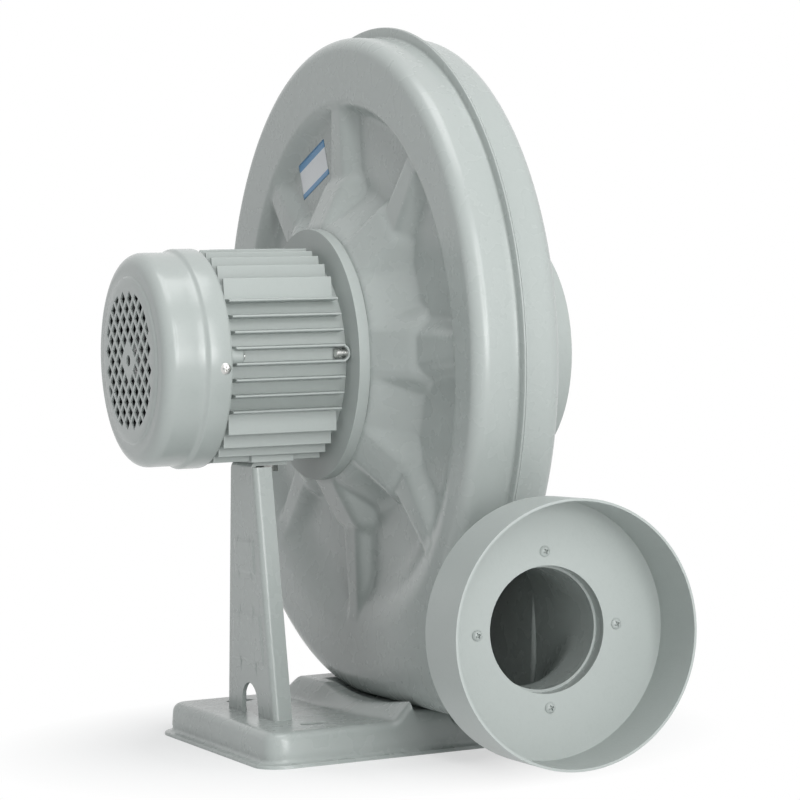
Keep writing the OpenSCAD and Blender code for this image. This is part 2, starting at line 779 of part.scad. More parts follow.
module motor_body() color(paint) difference() {
    union() {
        ring(barrel_end, motor_y, barrel_r, barrel_r - barrel_wall);
        on_axis(fin_front) linear_extrude(fin_front - fin_back) difference() {
            intersection() {
                circle(r = fin_r);
                for (a = quarters) rotate(a) fin_strips();
            }
            circle(r = barrel_r - 1);
        }
        intersection() {
            union() {
                pins(quarters, boss_front_r, motor_y - screw_boss_l, motor_y, screw_boss_r);
                pins(quarters, boss_back_r, barrel_end, barrel_end + screw_boss_l, screw_boss_r);
            }
            ring(barrel_end, motor_y, fin_r, barrel_r - 1);
        }
        difference() {
            union() {
                translate([-pad_w / 2, -stand_y - 2, axis_h - pad_drop])
                    cube([pad_w, tab_l + 4, pad_drop - barrel_r + 8]);
                translate([box_x, box_y - box_l / 2 + 2, axis_h - box_h / 2 + 2])
                    cube([pad_drop - barrel_r + 8, box_l - 4, box_h - 4]);
            }
            rod(barrel_end - 1, motor_y + 1, barrel_r - 1);
        }
    }
    translate([-pad_w / 2, -stand_y - 2, axis_h - pad_drop - 10]) cube([pad_w, tab_l + 4, 10]);
    translate([box_x - 10, box_y - box_l / 2 - 1, axis_h - box_h / 2 - 1])
        cube([10, box_l + 2, box_h + 2]);
    for (x = [-1, 1])
        translate([x * stand_bolt_x, -stand_y + tab_l - 9, axis_h - pad_drop - 1])
            cylinder(h = 8, r = m6_shank + fit);
    pins(quarters, boss_front_r, motor_y - screw_boss_l - 2, motor_y + 1, m5_shank + fit);
    pins(quarters, boss_back_r, barrel_end - 1, barrel_end + screw_boss_l + 1, m5_shank + fit);
}

winding_r = barrel_r - barrel_wall - 3;
stator_bore = rotor_r + air_gap;

module stator_core() color(steel)
    ring(core_mid - core_l / 2, core_mid + core_l / 2, barrel_r - barrel_wall - slide, stator_bore);

module windings() color(copper)
    for (s = [-1, 1]) {
        y0 = core_mid + s * core_l / 2;
        mid = (winding_r + stator_bore + 2) / 2;
        half = (winding_r - stator_bore - 2) / 2;
        turned() {
            translate([mid - half, min(y0, y0 + s * 5)]) square([2 * half, 5]);
            translate([mid, y0 + s * 5]) intersection() {
                circle(r = 6);
                translate([-6, s > 0 ? -0.5 : -6]) square([12, 6.5]);
            }
        }
    }

module rear_shield() color(paint) difference() {
    union() {
        ring(barrel_end - shield_t, barrel_end, rim_r, cup_r - cup_wall);
        ring(barrel_end - 10, barrel_end, rim_r, rim_r - 1.9);
        ring(barrel_end - eps, barrel_end + register_l, barrel_r - barrel_wall - slide,
             barrel_r - barrel_wall - register_wall);
        ring(shield_disc - shield_t, barrel_end, cup_r, cup_r - cup_wall);
        ring(shield_disc - shield_t, shield_disc, cup_r, journal_r + 1);
        ring(shield_disc - eps, shield_disc + bearing_w + 0.5, bearing_r + 4.5,
             bearing_r + slide);
    }
    pins(quarters, boss_back_r, barrel_end - 6, barrel_end + 1, m5_shank + fit);
    cover_screw_holes();
}

// Holes for the fan cover's screws, through the cover's band and the shield's rim
module cover_screw_holes()
    around(cover_screw_angles, band_r - cover_hole_l / 2) translate([0, 0, -cover_screw_y])
        rotate([0, 90, 0]) cylinder(h = cover_hole_l, r = m4_shank + fit, $fn = 32);

module shield_screws() color(zinc) {
    front_seat = motor_y - screw_boss_l;
    back_seat = barrel_end - shield_t;
    pins(quarters, boss_front_r, front_seat - m5_front_head_h, front_seat, m5_head);
    pins(quarters, boss_front_r, front_seat - eps, motor_y + flange_bite, m5_shank);
    pins(quarters, boss_back_r, back_seat - m5_head_h, back_seat, m5_head);
    pins(quarters, boss_back_r, back_seat - eps, barrel_end + screw_bite, m5_shank);
}

// Rhombic holes of the grille, seen along the motor axis
module grille_holes() {
    nx = ceil(grille_r / grille_px) + 1;
    nz = ceil(grille_r / grille_pz) + 1;
    half_x = (grille_px - grille_bar) / 2;
    half_z = half_x * grille_pz / grille_px;
    for (i = [-2 * nx:2 * nx], j = [-2 * nz:2 * nz])
        if ((i + j) % 2 == 0) {
            x = i * grille_px / 2;
            z = j * grille_pz / 2;
            if (norm([x, z]) < grille_r - half_z / 2 && abs(i) + abs(j) > 2)
                translate([x, z])
                    polygon([[half_x, 0], [0, half_z], [-half_x, 0], [0, -half_z]]);
        }
    polygon([[1.6, 0], [0, 5], [-1.6, 0], [0, -5]]);
}

// Section of the fan cover from its open end to the middle of its front, as radius and Y
module cover_section() {
    s = cover_sheet;
    band_y = barrel_end - band_w;
    drum_y = cover_front + cover_edge;
    polygon([[cover_r - s, drum_y], [cover_r, drum_y], [cover_r, band_y - 2], [band_r, band_y],
             [band_r, barrel_end], [band_r - s, barrel_end], [band_r - s, band_y + 0.5],
             [cover_r - s, band_y - 1.5]]);
    bend([cover_r - cover_edge, cover_front + cover_edge], cover_edge, s, 3);
    translate([0, cover_front]) square([cover_r - cover_edge, s]);
    translate([bead_r, cover_front + 0.1]) intersection() {
        circle(r = bead_t);
        translate([-bead_t, -bead_t]) square([2 * bead_t, bead_t]);
    }
}

module fan_cover() color(paint) difference() {
    turned() cover_section();
    translate([0, cover_front + 2 * cover_sheet, axis_h]) rotate([90, 0, 0])
        linear_extrude(4 * cover_sheet) grille_holes();
    cover_screw_holes();
}

module cover_screws() color(zinc)
    around(cover_screw_angles, band_r) translate([0, 0, -cover_screw_y]) rotate([0, 90, 0])
        difference() {
            pan_screw(m4_head - 0.2, m4_shank, cover_screw_l);
            for (a = [0, 90]) rotate([0, 0, a]) translate([-2, -0.4, 1]) cube([4, 0.8, 2]);
        }

// Ball bearing measures
ball_r = 3;
ball_pitch = (bearing_r + journal_r) / 2;
race_gap = 0.03;
bearing_places = [front_bearing, rear_bearing];

module groove(y) on_axis(y + bearing_w / 2) rotate_extrude()
    translate([ball_pitch, 0]) circle(r = ball_r + race_gap, $fn = 48);

module bearing_outer_rings() color(steel)
    for (y = bearing_places) difference() {
        ring(y, y + bearing_w, bearing_r, ball_pitch + 1.6);
        groove(y);
    }

module bearing_inner_rings() color(steel)
    for (y = bearing_places) difference() {
        ring(y, y + bearing_w, ball_pitch - 1.6, journal_r);
        groove(y);
    }

module bearing_balls() color(zinc)
    for (y = bearing_places, i = [0:ball_n - 1])
        around([i * 360 / ball_n], ball_pitch)
            translate([0, 0, -y - bearing_w / 2]) sphere(r = ball_r, $fn = 32);

module terminal_box() color(paint) difference() {
    translate([box_x - box_d, box_y - box_l / 2, axis_h - box_h / 2])
        cube([box_d, box_l, box_h]);
    translate([box_x - box_d - 1, box_y - box_l / 2 + box_wall, axis_h - box_h / 2 + box_wall])
        cube([box_d - box_wall + 1, box_l - 2 * box_wall, box_h - 2 * box_wall]);
    translate([box_x - box_d / 2, box_y, axis_h - box_h / 2 - 1]) cylinder(h = 5, r = 8);
}

module terminal_lid() color(paint) difference() {
    translate([box_x - box_d - lid_t, box_y, axis_h]) rotate([0, 90, 0])
        round_block(box_h + 2, box_l + 2, lid_t, 4);
    lid_pattern() translate([0, 0, -1]) cylinder(h = lid_t + 2, r = m4_shank + fit, $fn = 32);
}

// Children at the lid's four screws, pointing into the box
module lid_pattern()
    for (y = [-1, 1], z = [-1, 1])
        translate([box_x - box_d - lid_t, box_y + y * (box_l / 2 - lid_screw_in),
                   axis_h + z * (box_h / 2 - lid_screw_in)])
            rotate([0, 90, 0]) children();

module lid_screws() color(zinc)
    lid_pattern() mirror([0, 0, 1]) pan_screw(m4_head - 0.4, m4_shank, lid_t + lid_grip);

module terminal_block() color(dark) difference() {
    translate([box_x - box_wall - 12, box_y - 18, axis_h - 6]) cube([12, 36, 16]);
    for (i = [-1:1]) translate([box_x - box_wall - 13, box_y + i * 11, axis_h + 2])
        rotate([0, 90, 0]) cylinder(h = 6, r = 3, $fn = 32);
}

module cable_gland() color(dark)
    translate([box_x - box_d / 2, box_y, axis_h - box_h / 2]) mirror([0, 0, 1])
        difference() {
            union() {
                translate([0, 0, -box_wall - 1]) cylinder(h = box_wall + 2, r = 8 - fit);
                cylinder(h = 5, r = 11, $fn = 6);
                translate([0, 0, 5]) cylinder(h = 9, r1 = 10, r2 = 8);
            }
            translate([0, 0, -5]) cylinder(h = 25, r = 4);
        }

stub_r = journal_r - 1;
fan_y0 = cover_front + cover_sheet + 4;
fan_y1 = shield_disc - shield_t - 3;
fan_hub_r = 14;
fan_root_r = 10;
fan_web_in = 12;
fan_web_t = 3;
fan_blade_t = 2;

module shaft() color(steel) difference() {
    union() {
        rod(fan_y0 - 2, rear_bearing - 0.2, stub_r);
        rod(rear_bearing - 0.2, rear_bearing + bearing_w + 0.2, journal_r);
        rod(rear_bearing + bearing_w + 0.2, front_bearing - 0.2, shaft_r);
        rod(front_bearing - 0.2, motor_y, journal_r);
        rod(motor_y, nose_end, nose_r);
    }
    rod(nose_end - 16, nose_end + 1, m5_shank + fit);
    translate([-key_w / 2, key_y, axis_h + nose_r - key_h / 2]) cube([key_w, key_l, key_h]);
    ring(fan_y0 - 0.7, fan_y0 + 0.5, stub_r + 1, stub_r - 0.6);
}

module shaft_key() color(steel)
    translate([-key_w / 2 + slide / 2, key_y + slide, axis_h + nose_r - key_h / 2 + slide])
        cube([key_w - slide, key_l - 2 * slide, key_h - slide]);

module rotor_core() color(steel) {
    ring(core_mid - core_l / 2, core_mid + core_l / 2, rotor_r, shaft_r);
    for (s = [-1, 1])
        ring(core_mid + s * (core_l / 2 + 2) - 2, core_mid + s * (core_l / 2 + 2) + 2,
             rotor_r - 2, 21);
}

boss_y0 = hub_y + 5;

module impeller_hub() color(steel) difference() {
    union() {
        rod(boss_y0, wheel_y, boss_r);
        rod(wheel_y - boss_flange_t, wheel_y, boss_flange_r);
    }
    rod(boss_y0 - 1, wheel_y + 1, nose_r + 0.02);
    translate([-key_w / 2, boss_y0 - 1, axis_h])
        cube([key_w, wheel_y - boss_y0 + 2, nose_r + key_h / 2 + fit]);
    pins([for (i = [0:rivet_n - 1]) i * 60], rivet_r, wheel_y - 9, wheel_y + 1, 2.6);
}

module hub_rivets() color(zinc)
    for (i = [0:rivet_n - 1]) {
        pins([i * 60], rivet_r, wheel_y - boss_flange_t - 1.5, wheel_y - boss_flange_t, 4.5);
        pins([i * 60], rivet_r, wheel_y - boss_flange_t - eps, wheel_y + wheel_sheet + eps, 2.5);
        pins([i * 60], rivet_r, wheel_y + wheel_sheet, wheel_y + wheel_sheet + 1.5, 4.5);
    }

module back_plate() color(zinc) difference() {
    ring(wheel_y, wheel_y + wheel_sheet, wheel_r, 11);
    pins([for (i = [0:rivet_n - 1]) i * 60], rivet_r, wheel_y - 1, wheel_y + 5, 2.6);
}

blade_y = wheel_y + wheel_sheet;
blade_bend = 110;

// One curved blade, seen along the axis
module blade_line() intersection() {
    translate([0, -blade_bend]) rotate(-25) difference() {
        circle(r = blade_bend + wheel_sheet / 2, $fn = 180);
        circle(r = blade_bend - wheel_sheet / 2, $fn = 180);
    }
    difference() {
        circle(r = wheel_r - 1, $fn = 180);
        circle(r = blade_in, $fn = 120);
    }
    translate([0, -2 * blade_bend]) square([2 * wheel_r, 4 * blade_bend]);
}

// Passage between the wheel's two plates
module passage()
    turned() polygon([[blade_in - 5, blade_y], [wheel_r, blade_y], [wheel_r, blade_y + wheel_w],
                      [eye_r + 12, blade_y + eye_w - 5], [blade_in - 5, blade_y + eye_w - 3]]);

module blades() color(zinc) intersection() {
    on_axis(blade_y + eye_w + 5) linear_extrude(eye_w + 10)
        for (i = [0:blade_n - 1]) rotate(i * 360 / blade_n) blade_line();
    passage();
}

// Shroud of the wheel, a shallow cone with a round lip about the eye
module shroud() color(zinc) turned() {
    t = wheel_sheet;
    flare_y = blade_y + eye_w - 3;
    polygon([[wheel_r, blade_y + wheel_w], [wheel_r, blade_y + wheel_w + t],
             [eye_r + 12, blade_y + eye_w - 5 + t], [eye_r + 4, flare_y + t],
             [eye_r + t, flare_y + 5], [eye_r, flare_y + 5], [eye_r, flare_y],
             [eye_r + 12, blade_y + eye_w - 5]]);
}

module impeller_washer() color(zinc) ring(wheel_y, wheel_y + 2, 10, m5_shank + fit);

module impeller_bolt() color(zinc) {
    rod(wheel_y + 2, wheel_y + 7, m5_head);
    rod(nose_end - 14, wheel_y + 2 + eps, m5_shank);
}

module cooling_fan() color(dark) difference() {
    union() {
        rod(fan_y0 + 0.5, fan_y1, fan_hub_r);
        ring(fan_y1 - fan_web_t, fan_y1, fan_r - fan_web_in, fan_root_r);
        for (i = [0:fan_n - 1]) on_axis(fan_y1) rotate([0, 0, i * 360 / fan_n])
            translate([fan_root_r, -fan_blade_t / 2, 0])
                cube([fan_r - fan_root_r, fan_blade_t, fan_y1 - fan_y0 - 1]);
    }
    rod(fan_y0 - 1, fan_y1 + 1, stub_r + 0.02);
}

module fan_clip() color(steel) ring(fan_y0 - 0.6, fan_y0 + 0.4, stub_r + 3, stub_r - 0.5);

base_tray();
motor_stand();
front_shell();
rear_shell();
outlet_throat();
outlet_collar();
outlet_screws();
inlet_collar();
inlet_screws();
inlet_nozzle();
motor_flange();
flange_bolts();
motor_body();
stator_core();
windings();
rear_shield();
shield_screws();
fan_cover();
cover_screws();
bearing_outer_rings();
terminal_box();
terminal_lid();
lid_screws();
terminal_block();
cable_gland();
stand_bolts();
shaft();
shaft_key();
rotor_core();
bearing_inner_rings();
bearing_balls();
impeller_hub();
back_plate();
blades();
shroud();
hub_rivets();
impeller_washer();
impeller_bolt();
cooling_fan();
fan_clip();
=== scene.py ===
import json
import math

import bmesh
import bpy
import numpy as np
from mathutils import Matrix, Vector


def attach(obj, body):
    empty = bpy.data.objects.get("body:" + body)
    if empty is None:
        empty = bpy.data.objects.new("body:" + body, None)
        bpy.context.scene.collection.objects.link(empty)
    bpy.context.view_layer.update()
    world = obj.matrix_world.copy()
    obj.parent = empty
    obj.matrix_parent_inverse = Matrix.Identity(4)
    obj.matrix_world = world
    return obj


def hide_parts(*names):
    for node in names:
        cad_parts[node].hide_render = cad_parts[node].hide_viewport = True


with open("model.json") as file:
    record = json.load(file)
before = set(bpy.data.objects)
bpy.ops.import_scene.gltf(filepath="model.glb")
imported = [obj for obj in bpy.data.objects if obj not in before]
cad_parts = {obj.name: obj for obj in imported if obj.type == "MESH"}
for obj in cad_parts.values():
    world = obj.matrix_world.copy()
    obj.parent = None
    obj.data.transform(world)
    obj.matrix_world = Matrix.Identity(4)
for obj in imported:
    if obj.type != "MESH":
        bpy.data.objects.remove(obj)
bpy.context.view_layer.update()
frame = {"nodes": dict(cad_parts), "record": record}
nodes = frame["nodes"]

# Blender works in metres, and the sizes below are in millimetres
MM = 0.001

# The motor axis runs along Y at this height over the floor
AXIS_H = 246.0

# Scroll outline, as quarters of growing radius about three centres, seen from the motor
SCROLL_R = 199.5
SCROLL_STEP = 7.5
CENTRE_1 = np.array([-4.0, 2.0])
CENTRE_2 = CENTRE_1 - [0, SCROLL_STEP]
CENTRE_3 = CENTRE_2 + [SCROLL_STEP, 0]
SCROLL_DROP = SCROLL_R + 2 * SCROLL_STEP - CENTRE_3[1]
MOUTH_X = 150.0
TONGUE_R = 1.5
TONGUE_ANGLE = math.degrees(math.acos((MOUTH_X - CENTRE_1[0]) / (SCROLL_R + TONGUE_R)))
TONGUE = np.array([MOUTH_X, CENTRE_1[1] - (SCROLL_R + TONGUE_R) * math.sin(math.radians(TONGUE_ANGLE))])
TONGUE_COLUMNS = 16
COLUMN_DEG = 0.5
COLUMN_MM = 1.7
MOUTH_POINTS = 30
MOUTH_ARC = 12.0

# Sheet metal of the housing
WALL = 1.2
EDGE_R = 9.0
EDGE_MORE = 5.0
EDGE_MORE_FROM = 0.55
LIP_W = 7.0
LIP_GROWTH = 12
LIP_ROOT = 1.2
SEAM_Y = 31.5
FRONT_DEPTH = 28.5
REAR_DEPTH = 28.0

# Front shell pressing, as heights over the seam
RECESS_R = 165.0
RECESS_DROP = 5.0
RECESS_RUN_TOP = 7.0
RECESS_RUN_LOW = 20.0
RECESS_LOW_FROM = -40.0
RECESS_LOW_TO = 150.0
RECESS_BLEND = 2.0
RECESS_BLEND_MORE = 4.0
FLOOR_H = FRONT_DEPTH - 10.0
HUB_H = FRONT_DEPTH + 15.0
HUB_FACE_R = 82.0
HUB_FOOT_R = 104.0
HUB_BORE_R = 55.1
HUB_BLEND = 4.0
HUB_FOOT_BLEND = 5.0
RIB_COUNT = 8
RIB_START = 60
RIB_END_SLOPE = 1.5
RIB_BLEND = 4.0
RIB_FOOT_BLEND = 3.0
RIB_HALF_IN = 11.0
RIB_HALF_OUT = 8.0
RIB_FLANK = 9.0
RIB_TOP_IN = FRONT_DEPTH - 1.0
RIB_TOP_OUT = FRONT_DEPTH - 2.0
ARM_SLOPE = 0.5
ARM_HALF = 15.0
ARM_TOP = 31.0
ARM_END = 109.0
ARM_END_SLOPE = 1.3
ARM_END_BLEND = 2.5
ARM_FLANK_SLOPE = 1.2
ARM_BLEND = 5.0
ARM_FOOT_BLEND = 2.0

# Rear shell pressing, as heights over the seam
NECK_H = 92.0 - SEAM_Y
NECK_R = 70.0
NECK_FOOT_R = 110.0
NECK_BORE_R = 56.0
NECK_BLEND = 5.0
NECK_FOOT_BLEND = 8.0

# Outlet throat and pipe
OUTLET_Y = 23.0
OUTLET_Z = AXIS_H - 160.0
PIPE_R = 37.5
PIPE_X = 202.5
PLATE_X = 230.5


# Small helpers

def link(obj):
    bpy.context.scene.collection.objects.link(obj)
    return obj


def mesh_object(name, points, faces):
    """A mesh object from points in millimetres, in the row frame."""
    mesh = bpy.data.meshes.new(name)
    mesh.from_pydata([[c * MM for c in p] for p in points], [], faces)
    mesh.validate()
    for polygon in mesh.polygons:
        polygon.use_smooth = True
    return link(bpy.data.objects.new(name, mesh))


def dress(obj, material):
    obj.data.materials.clear()
    obj.data.materials.append(material)


def smooth_max(a, b, blend):
    """The larger of two heights, with a round fillet where they cross."""
    h = np.clip(0.5 + 0.5 * (a - b) / blend, 0, 1)
    return b + (a - b) * h + blend * h * (1 - h)


def smooth_min(a, b, blend):
    return -smooth_max(-a, -b, blend)


def ramp(value, start, end):
    """0 before start, 1 after end and a smooth step between them."""
    t = np.clip((value - start) / (end - start), 0, 1)
    return t * t * (3 - 2 * t)


def polar(centre, radius, degrees):
    """Point at a distance and an angle from a centre."""
    angle = math.radians(degrees)
    return centre + radius * np.array([math.cos(angle), math.sin(angle)])


# Materials, with depths and radii in metres and scales in features per metre

PAINT_LIGHT = 1.015
PAINT_DEEP = 0.985
PAINT_FLECK = 0.90
# Lighter tone on edges: partly paint worn thin, partly a painted highlight on the edges
PAINT_WORN_AND_HIGHLIGHT = 1.12
WEAR_AND_HIGHLIGHT_R = 0.0008
WEAR_AND_HIGHLIGHT_SHARPNESS = 0.25
SHEET_WAVE = 0.000008
SCRATCH_SCALE = 700.0


def new_material(name):
    material = bpy.data.materials.new(name)
    material.use_nodes = True
    tree = material.node_tree
    return material, tree, tree.nodes["Principled BSDF"]


def add(tree, kind, **settings):
    node = tree.nodes.new(kind)
    for key, value in settings.items():
        setattr(node, key, value)
    return node


def object_noise(tree, scale, detail=3.0, stretch=None):
    """Noise that stays on the object's own surface, with its scale in features per metre."""
    place = add(tree, "ShaderNodeTexCoord")
    noise = add(tree, "ShaderNodeTexNoise")
    noise.inputs["Scale"].default_value = scale
    noise.inputs["Detail"].default_value = detail
    source = place.outputs["Object"]
    if stretch:
        mapping = add(tree, "ShaderNodeMapping")
        mapping.inputs["Scale"].default_value = stretch
        tree.links.new(source, mapping.inputs["Vector"])
        source = mapping.outputs["Vector"]
    tree.links.new(source, noise.inputs["Vector"])
    return noise.outputs["Fac"]


def spread(tree, value, low, high, from_low=0.3, from_high=0.7):
    """Map a 0 to 1 value to another range."""
    node = add(tree, "ShaderNodeMapRange")
    node.inputs["From Min"].default_value = from_low
    node.inputs["From Max"].default_value = from_high
    node.inputs["To Min"].default_value = low
    node.inputs["To Max"].default_value = high
    tree.links.new(value, node.inputs["Value"])
    return node.outputs["Result"]


def mix_colour(tree, factor, colour_a, colour_b):
    node = add(tree, "ShaderNodeMix", data_type="RGBA")
    for socket, colour in ((node.inputs[6], colour_a), (node.inputs[7], colour_b)):
        if isinstance(colour, bpy.types.NodeSocket):
            tree.links.new(colour, socket)
        else:
            socket.default_value = (*colour, 1.0)
    tree.links.new(factor, node.inputs[0])
    return node.outputs[2]


def edge_mask(tree, radius, sharpness):
    """1 on convex and concave edges, 0 on open faces, from the surface alone."""
    bevel = add(tree, "ShaderNodeBevel", samples=4)
    bevel.inputs["Radius"].default_value = radius
    place = add(tree, "ShaderNodeNewGeometry")
    dot = add(tree, "ShaderNodeVectorMath", operation="DOT_PRODUCT")
    tree.links.new(bevel.outputs["Normal"], dot.inputs[0])
    tree.links.new(place.outputs["Normal"], dot.inputs[1])
    return spread(tree, dot.outputs["Value"], 1.0, 0.0, 1.0 - sharpness, 1.0)


def bump(tree, shader, heights, distance):
    """Bump from one or several heights, the first the coarsest."""
    normal = None
    for height, depth in zip(heights, distance):
        node = add(tree, "ShaderNodeBump")
        node.inputs["Strength"].default_value = 1.0
        node.inputs["Distance"].default_value = depth
        tree.links.new(height, node.inputs["Height"])
        if normal:
            tree.links.new(normal, node.inputs["Normal"])
        normal = node.outputs["Normal"]
    tree.links.new(normal, shader.inputs["Normal"])


def paint(name, colour, roughness, grain=0.00001, grain_scale=900.0):
    """Sprayed paint: faint colour drift, edges painted lighter (partly as wear, partly as a painted
    highlight), orange peel and slow waves of the sheet.
    """
    material, tree, shader = new_material(name)
    drift = object_noise(tree, 9.0, 4.0)
    speckle = object_noise(tree, 420.0, 2.0)
    light = tuple(min(1.0, c * PAINT_LIGHT) for c in colour)
    deep = tuple(c * PAINT_DEEP for c in colour)
    base = mix_colour(tree, spread(tree, drift, 0.0, 1.0), deep, light)
    fleck = tuple(c * PAINT_FLECK for c in colour)
    base = mix_colour(tree, spread(tree, speckle, 0.0, 0.22, 0.52, 0.72), base, fleck)
    # Convex and concave edges are painted lighter: partly wear, partly a painted highlight where edges
    # catch the light
    worn_and_highlight = tuple(min(1.0, c * PAINT_WORN_AND_HIGHLIGHT) for c in colour)
    edges = edge_mask(tree, WEAR_AND_HIGHLIGHT_R, WEAR_AND_HIGHLIGHT_SHARPNESS)
    base = mix_colour(tree, spread(tree, edges, 0.0, 0.55, 0.0, 1.0), base, worn_and_highlight)
    tree.links.new(base, shader.inputs["Base Color"])
    gloss = spread(tree, object_noise(tree, 60.0, 3.0), roughness - 0.015, roughness + 0.02)
    tree.links.new(gloss, shader.inputs["Roughness"])
    shader.inputs["Specular IOR Level"].default_value = 0.5
    peel = object_noise(tree, grain_scale, 2.0)
    slow = object_noise(tree, 26.0, 1.0)
    bump(tree, shader, [slow, peel], [SHEET_WAVE, grain])
    return material


def metal(name, colour, roughness, scratches=(1.0, 1.0, 1.0), grain=0.000006):
    material, tree, shader = new_material(name)
    shader.inputs["Metallic"].default_value = 1.0
    tone = object_noise(tree, 35.0, 4.0, scratches)
    dark = tuple(c * 0.8 for c in colour)
    base = mix_colour(tree, spread(tree, tone, 0.0, 1.0), dark, colour)
    tree.links.new(base, shader.inputs["Base Color"])
    lines = object_noise(tree, SCRATCH_SCALE, 3.0, scratches)
    tree.links.new(spread(tree, lines, roughness - 0.08, roughness + 0.1), shader.inputs["Roughness"])
    bump(tree, shader, [lines], [grain])
    return material


def spangle(name, colour):
    """Galvanised sheet with its crystal pattern."""
    material, tree, shader = new_material(name)
    shader.inputs["Metallic"].default_value = 1.0
    place = add(tree, "ShaderNodeTexCoord")
    cells = add(tree, "ShaderNodeTexVoronoi")
    cells.inputs["Scale"].default_value = 160.0
    tree.links.new(place.outputs["Object"], cells.inputs["Vector"])
    grey = add(tree, "ShaderNodeSeparateColor")
    tree.links.new(cells.outputs["Color"], grey.inputs["Color"])
    dark = tuple(c * 0.82 for c in colour)
    tree.links.new(mix_colour(tree, grey.outputs["Red"], dark, colour), shader.inputs["Base Color"])
    tree.links.new(spread(tree, grey.outputs["Green"], 0.32, 0.5, 0.0, 1.0), shader.inputs["Roughness"])
    bump(tree, shader, [object_noise(tree, 500.0)], [0.000008])
    return material


def plastic(name, colour, roughness):
    material, tree, shader = new_material(name)
    tone = object_noise(tree, 50.0)
    light = tuple(c * 1.4 for c in colour)
    base = mix_colour(tree, spread(tree, tone, 0.0, 1.0), colour, light)
    tree.links.new(base, shader.inputs["Base Color"])
    tree.links.new(spread(tree, object_noise(tree, 300.0), roughness - 0.05, roughness + 0.08),
                   shader.inputs["Roughness"])
    bump(tree, shader, [object_noise(tree, 1500.0)], [0.00001])
    return material


def enamel(name, colour):
    """Varnished copper coils, with the strands of wire round the axis."""
    material, tree, shader = new_material(name)
    strands = object_noise(tree, 260.0, 2.0, (1.0, 6.0, 1.0))
    dark = tuple(c * 0.45 for c in colour)
    base = mix_colour(tree, spread(tree, strands, 0.0, 1.0), dark, colour)
    tree.links.new(base, shader.inputs["Base Color"])
    shader.inputs["Roughness"].default_value = 0.25
    shader.inputs["Coat Weight"].default_value = 0.5
    bump(tree, shader, [strands], [0.0003])
    return material


PAINT_COLOUR = (0.40, 0.435, 0.42)

materials = {
    "paint": paint("housing_paint", PAINT_COLOUR, 0.27),
    "collar_paint": paint("collar_paint", PAINT_COLOUR, 0.42, 0.00006, 620.0),
    "cast_paint": paint("cast_paint", PAINT_COLOUR, 0.45, 0.00004, 480.0),
    "cover_paint": paint("cover_paint", PAINT_COLOUR, 0.23, 0.000008, 900.0),
    "zinc": metal("zinc_plating", (0.72, 0.72, 0.70), 0.3),
    "galvanised": spangle("galvanised_sheet", (0.66, 0.67, 0.67)),
    "steel": metal("ground_steel", (0.6, 0.6, 0.6), 0.28, (1.0, 12.0, 1.0)),
    "core_steel": metal("core_steel", (0.3, 0.3, 0.31), 0.5, (1.0, 40.0, 1.0), 0.00003),
    "enamel": enamel("winding_enamel", (0.62, 0.30, 0.12)),
    "black_plastic": plastic("black_plastic", (0.03, 0.03, 0.033), 0.5),
}

slot_of = {part["node"]: part["material_slot"] for part in frame["record"]["subparts"]}
for name, obj in nodes.items():
    dress(obj, materials[slot_of[name]])


# CAD nodes that stay: coplanar triangles joined, and edges broken by a small round

JOIN_M = 0.000004
FLAT_DEG = 0.4
EDGE_DEG = 28.0


def soften(name, width):
    obj = nodes[name]
    weld = obj.modifiers.new("weld", "WELD")
    weld.merge_threshold = JOIN_M
    planar = obj.modifiers.new("planar", "DECIMATE")
    planar.decimate_type = "DISSOLVE"
    planar.angle_limit = math.radians(FLAT_DEG)
    round_edge = obj.modifiers.new("round_edge", "BEVEL")
    round_edge.width = width * MM
    round_edge.segments = 2
    round_edge.limit_method = "ANGLE"
    round_edge.angle_limit = math.radians(EDGE_DEG)
    round_edge.use_clamp_overlap = True
    normals = obj.modifiers.new("normals", "WEIGHTED_NORMAL")
    normals.keep_sharp = False


for name, width in (("outlet_collar", 0.3), ("inlet_collar", 0.3), ("motor_flange", 0.6),
                    ("terminal_box", 0.8), ("terminal_lid", 1.2)):
    soften(name, width)


# Pressed shells of the housing: a fan of columns round the scroll, each a line from the
# housing's bore out over the pressing, the rounded edge and the side wall to the seam lip

def quarter_columns(step_deg):
    """Outline points and outward directions, from the tongue round the scroll to its lowest point."""
    columns = []
    for centre, radius, a0, a1 in (
            (CENTRE_1, SCROLL_R, -TONGUE_ANGLE, 90.0),
            (CENTRE_2, SCROLL_R + SCROLL_STEP, 90.0, 180.0),
            (CENTRE_3, SCROLL_R + 2 * SCROLL_STEP, 180.0, 270.0)):
        count = round((a1 - a0) / step_deg)
        for i in range(count + (a1 == 270.0)):
            angle = a0 + (a1 - a0) * i / count
            columns.append((polar(centre, radius, angle), polar(np.zeros(2), 1.0, angle)))
    return columns


def bottom_columns(step_mm):
    """Outline points along the straight bottom, from the scroll to the mouth."""
    run = MOUTH_X - CENTRE_3[0]
    count = round(run / step_mm)
    return [(np.array([CENTRE_3[0] + run * i / count, -SCROLL_DROP]), np.array([0.0, -1.0]))
            for i in range(1, count + 1)]


def tongue_columns(count):
    """Outline points round the tongue, from the mouth to the start of the scroll."""
    columns = []
    for i in range(count):
        angle = 270.0 - (90.0 + TONGUE_ANGLE) * i / count
        direction = polar(np.zeros(2), 1.0, angle)
        columns.append((TONGUE + TONGUE_R * direction, -direction))
    return columns


def edge_radius(direction):
    """Radius of the housing's rounded edge, a little fuller along the belly."""
    return EDGE_R + EDGE_MORE * ramp(-direction[1], EDGE_MORE_FROM, 1.0)


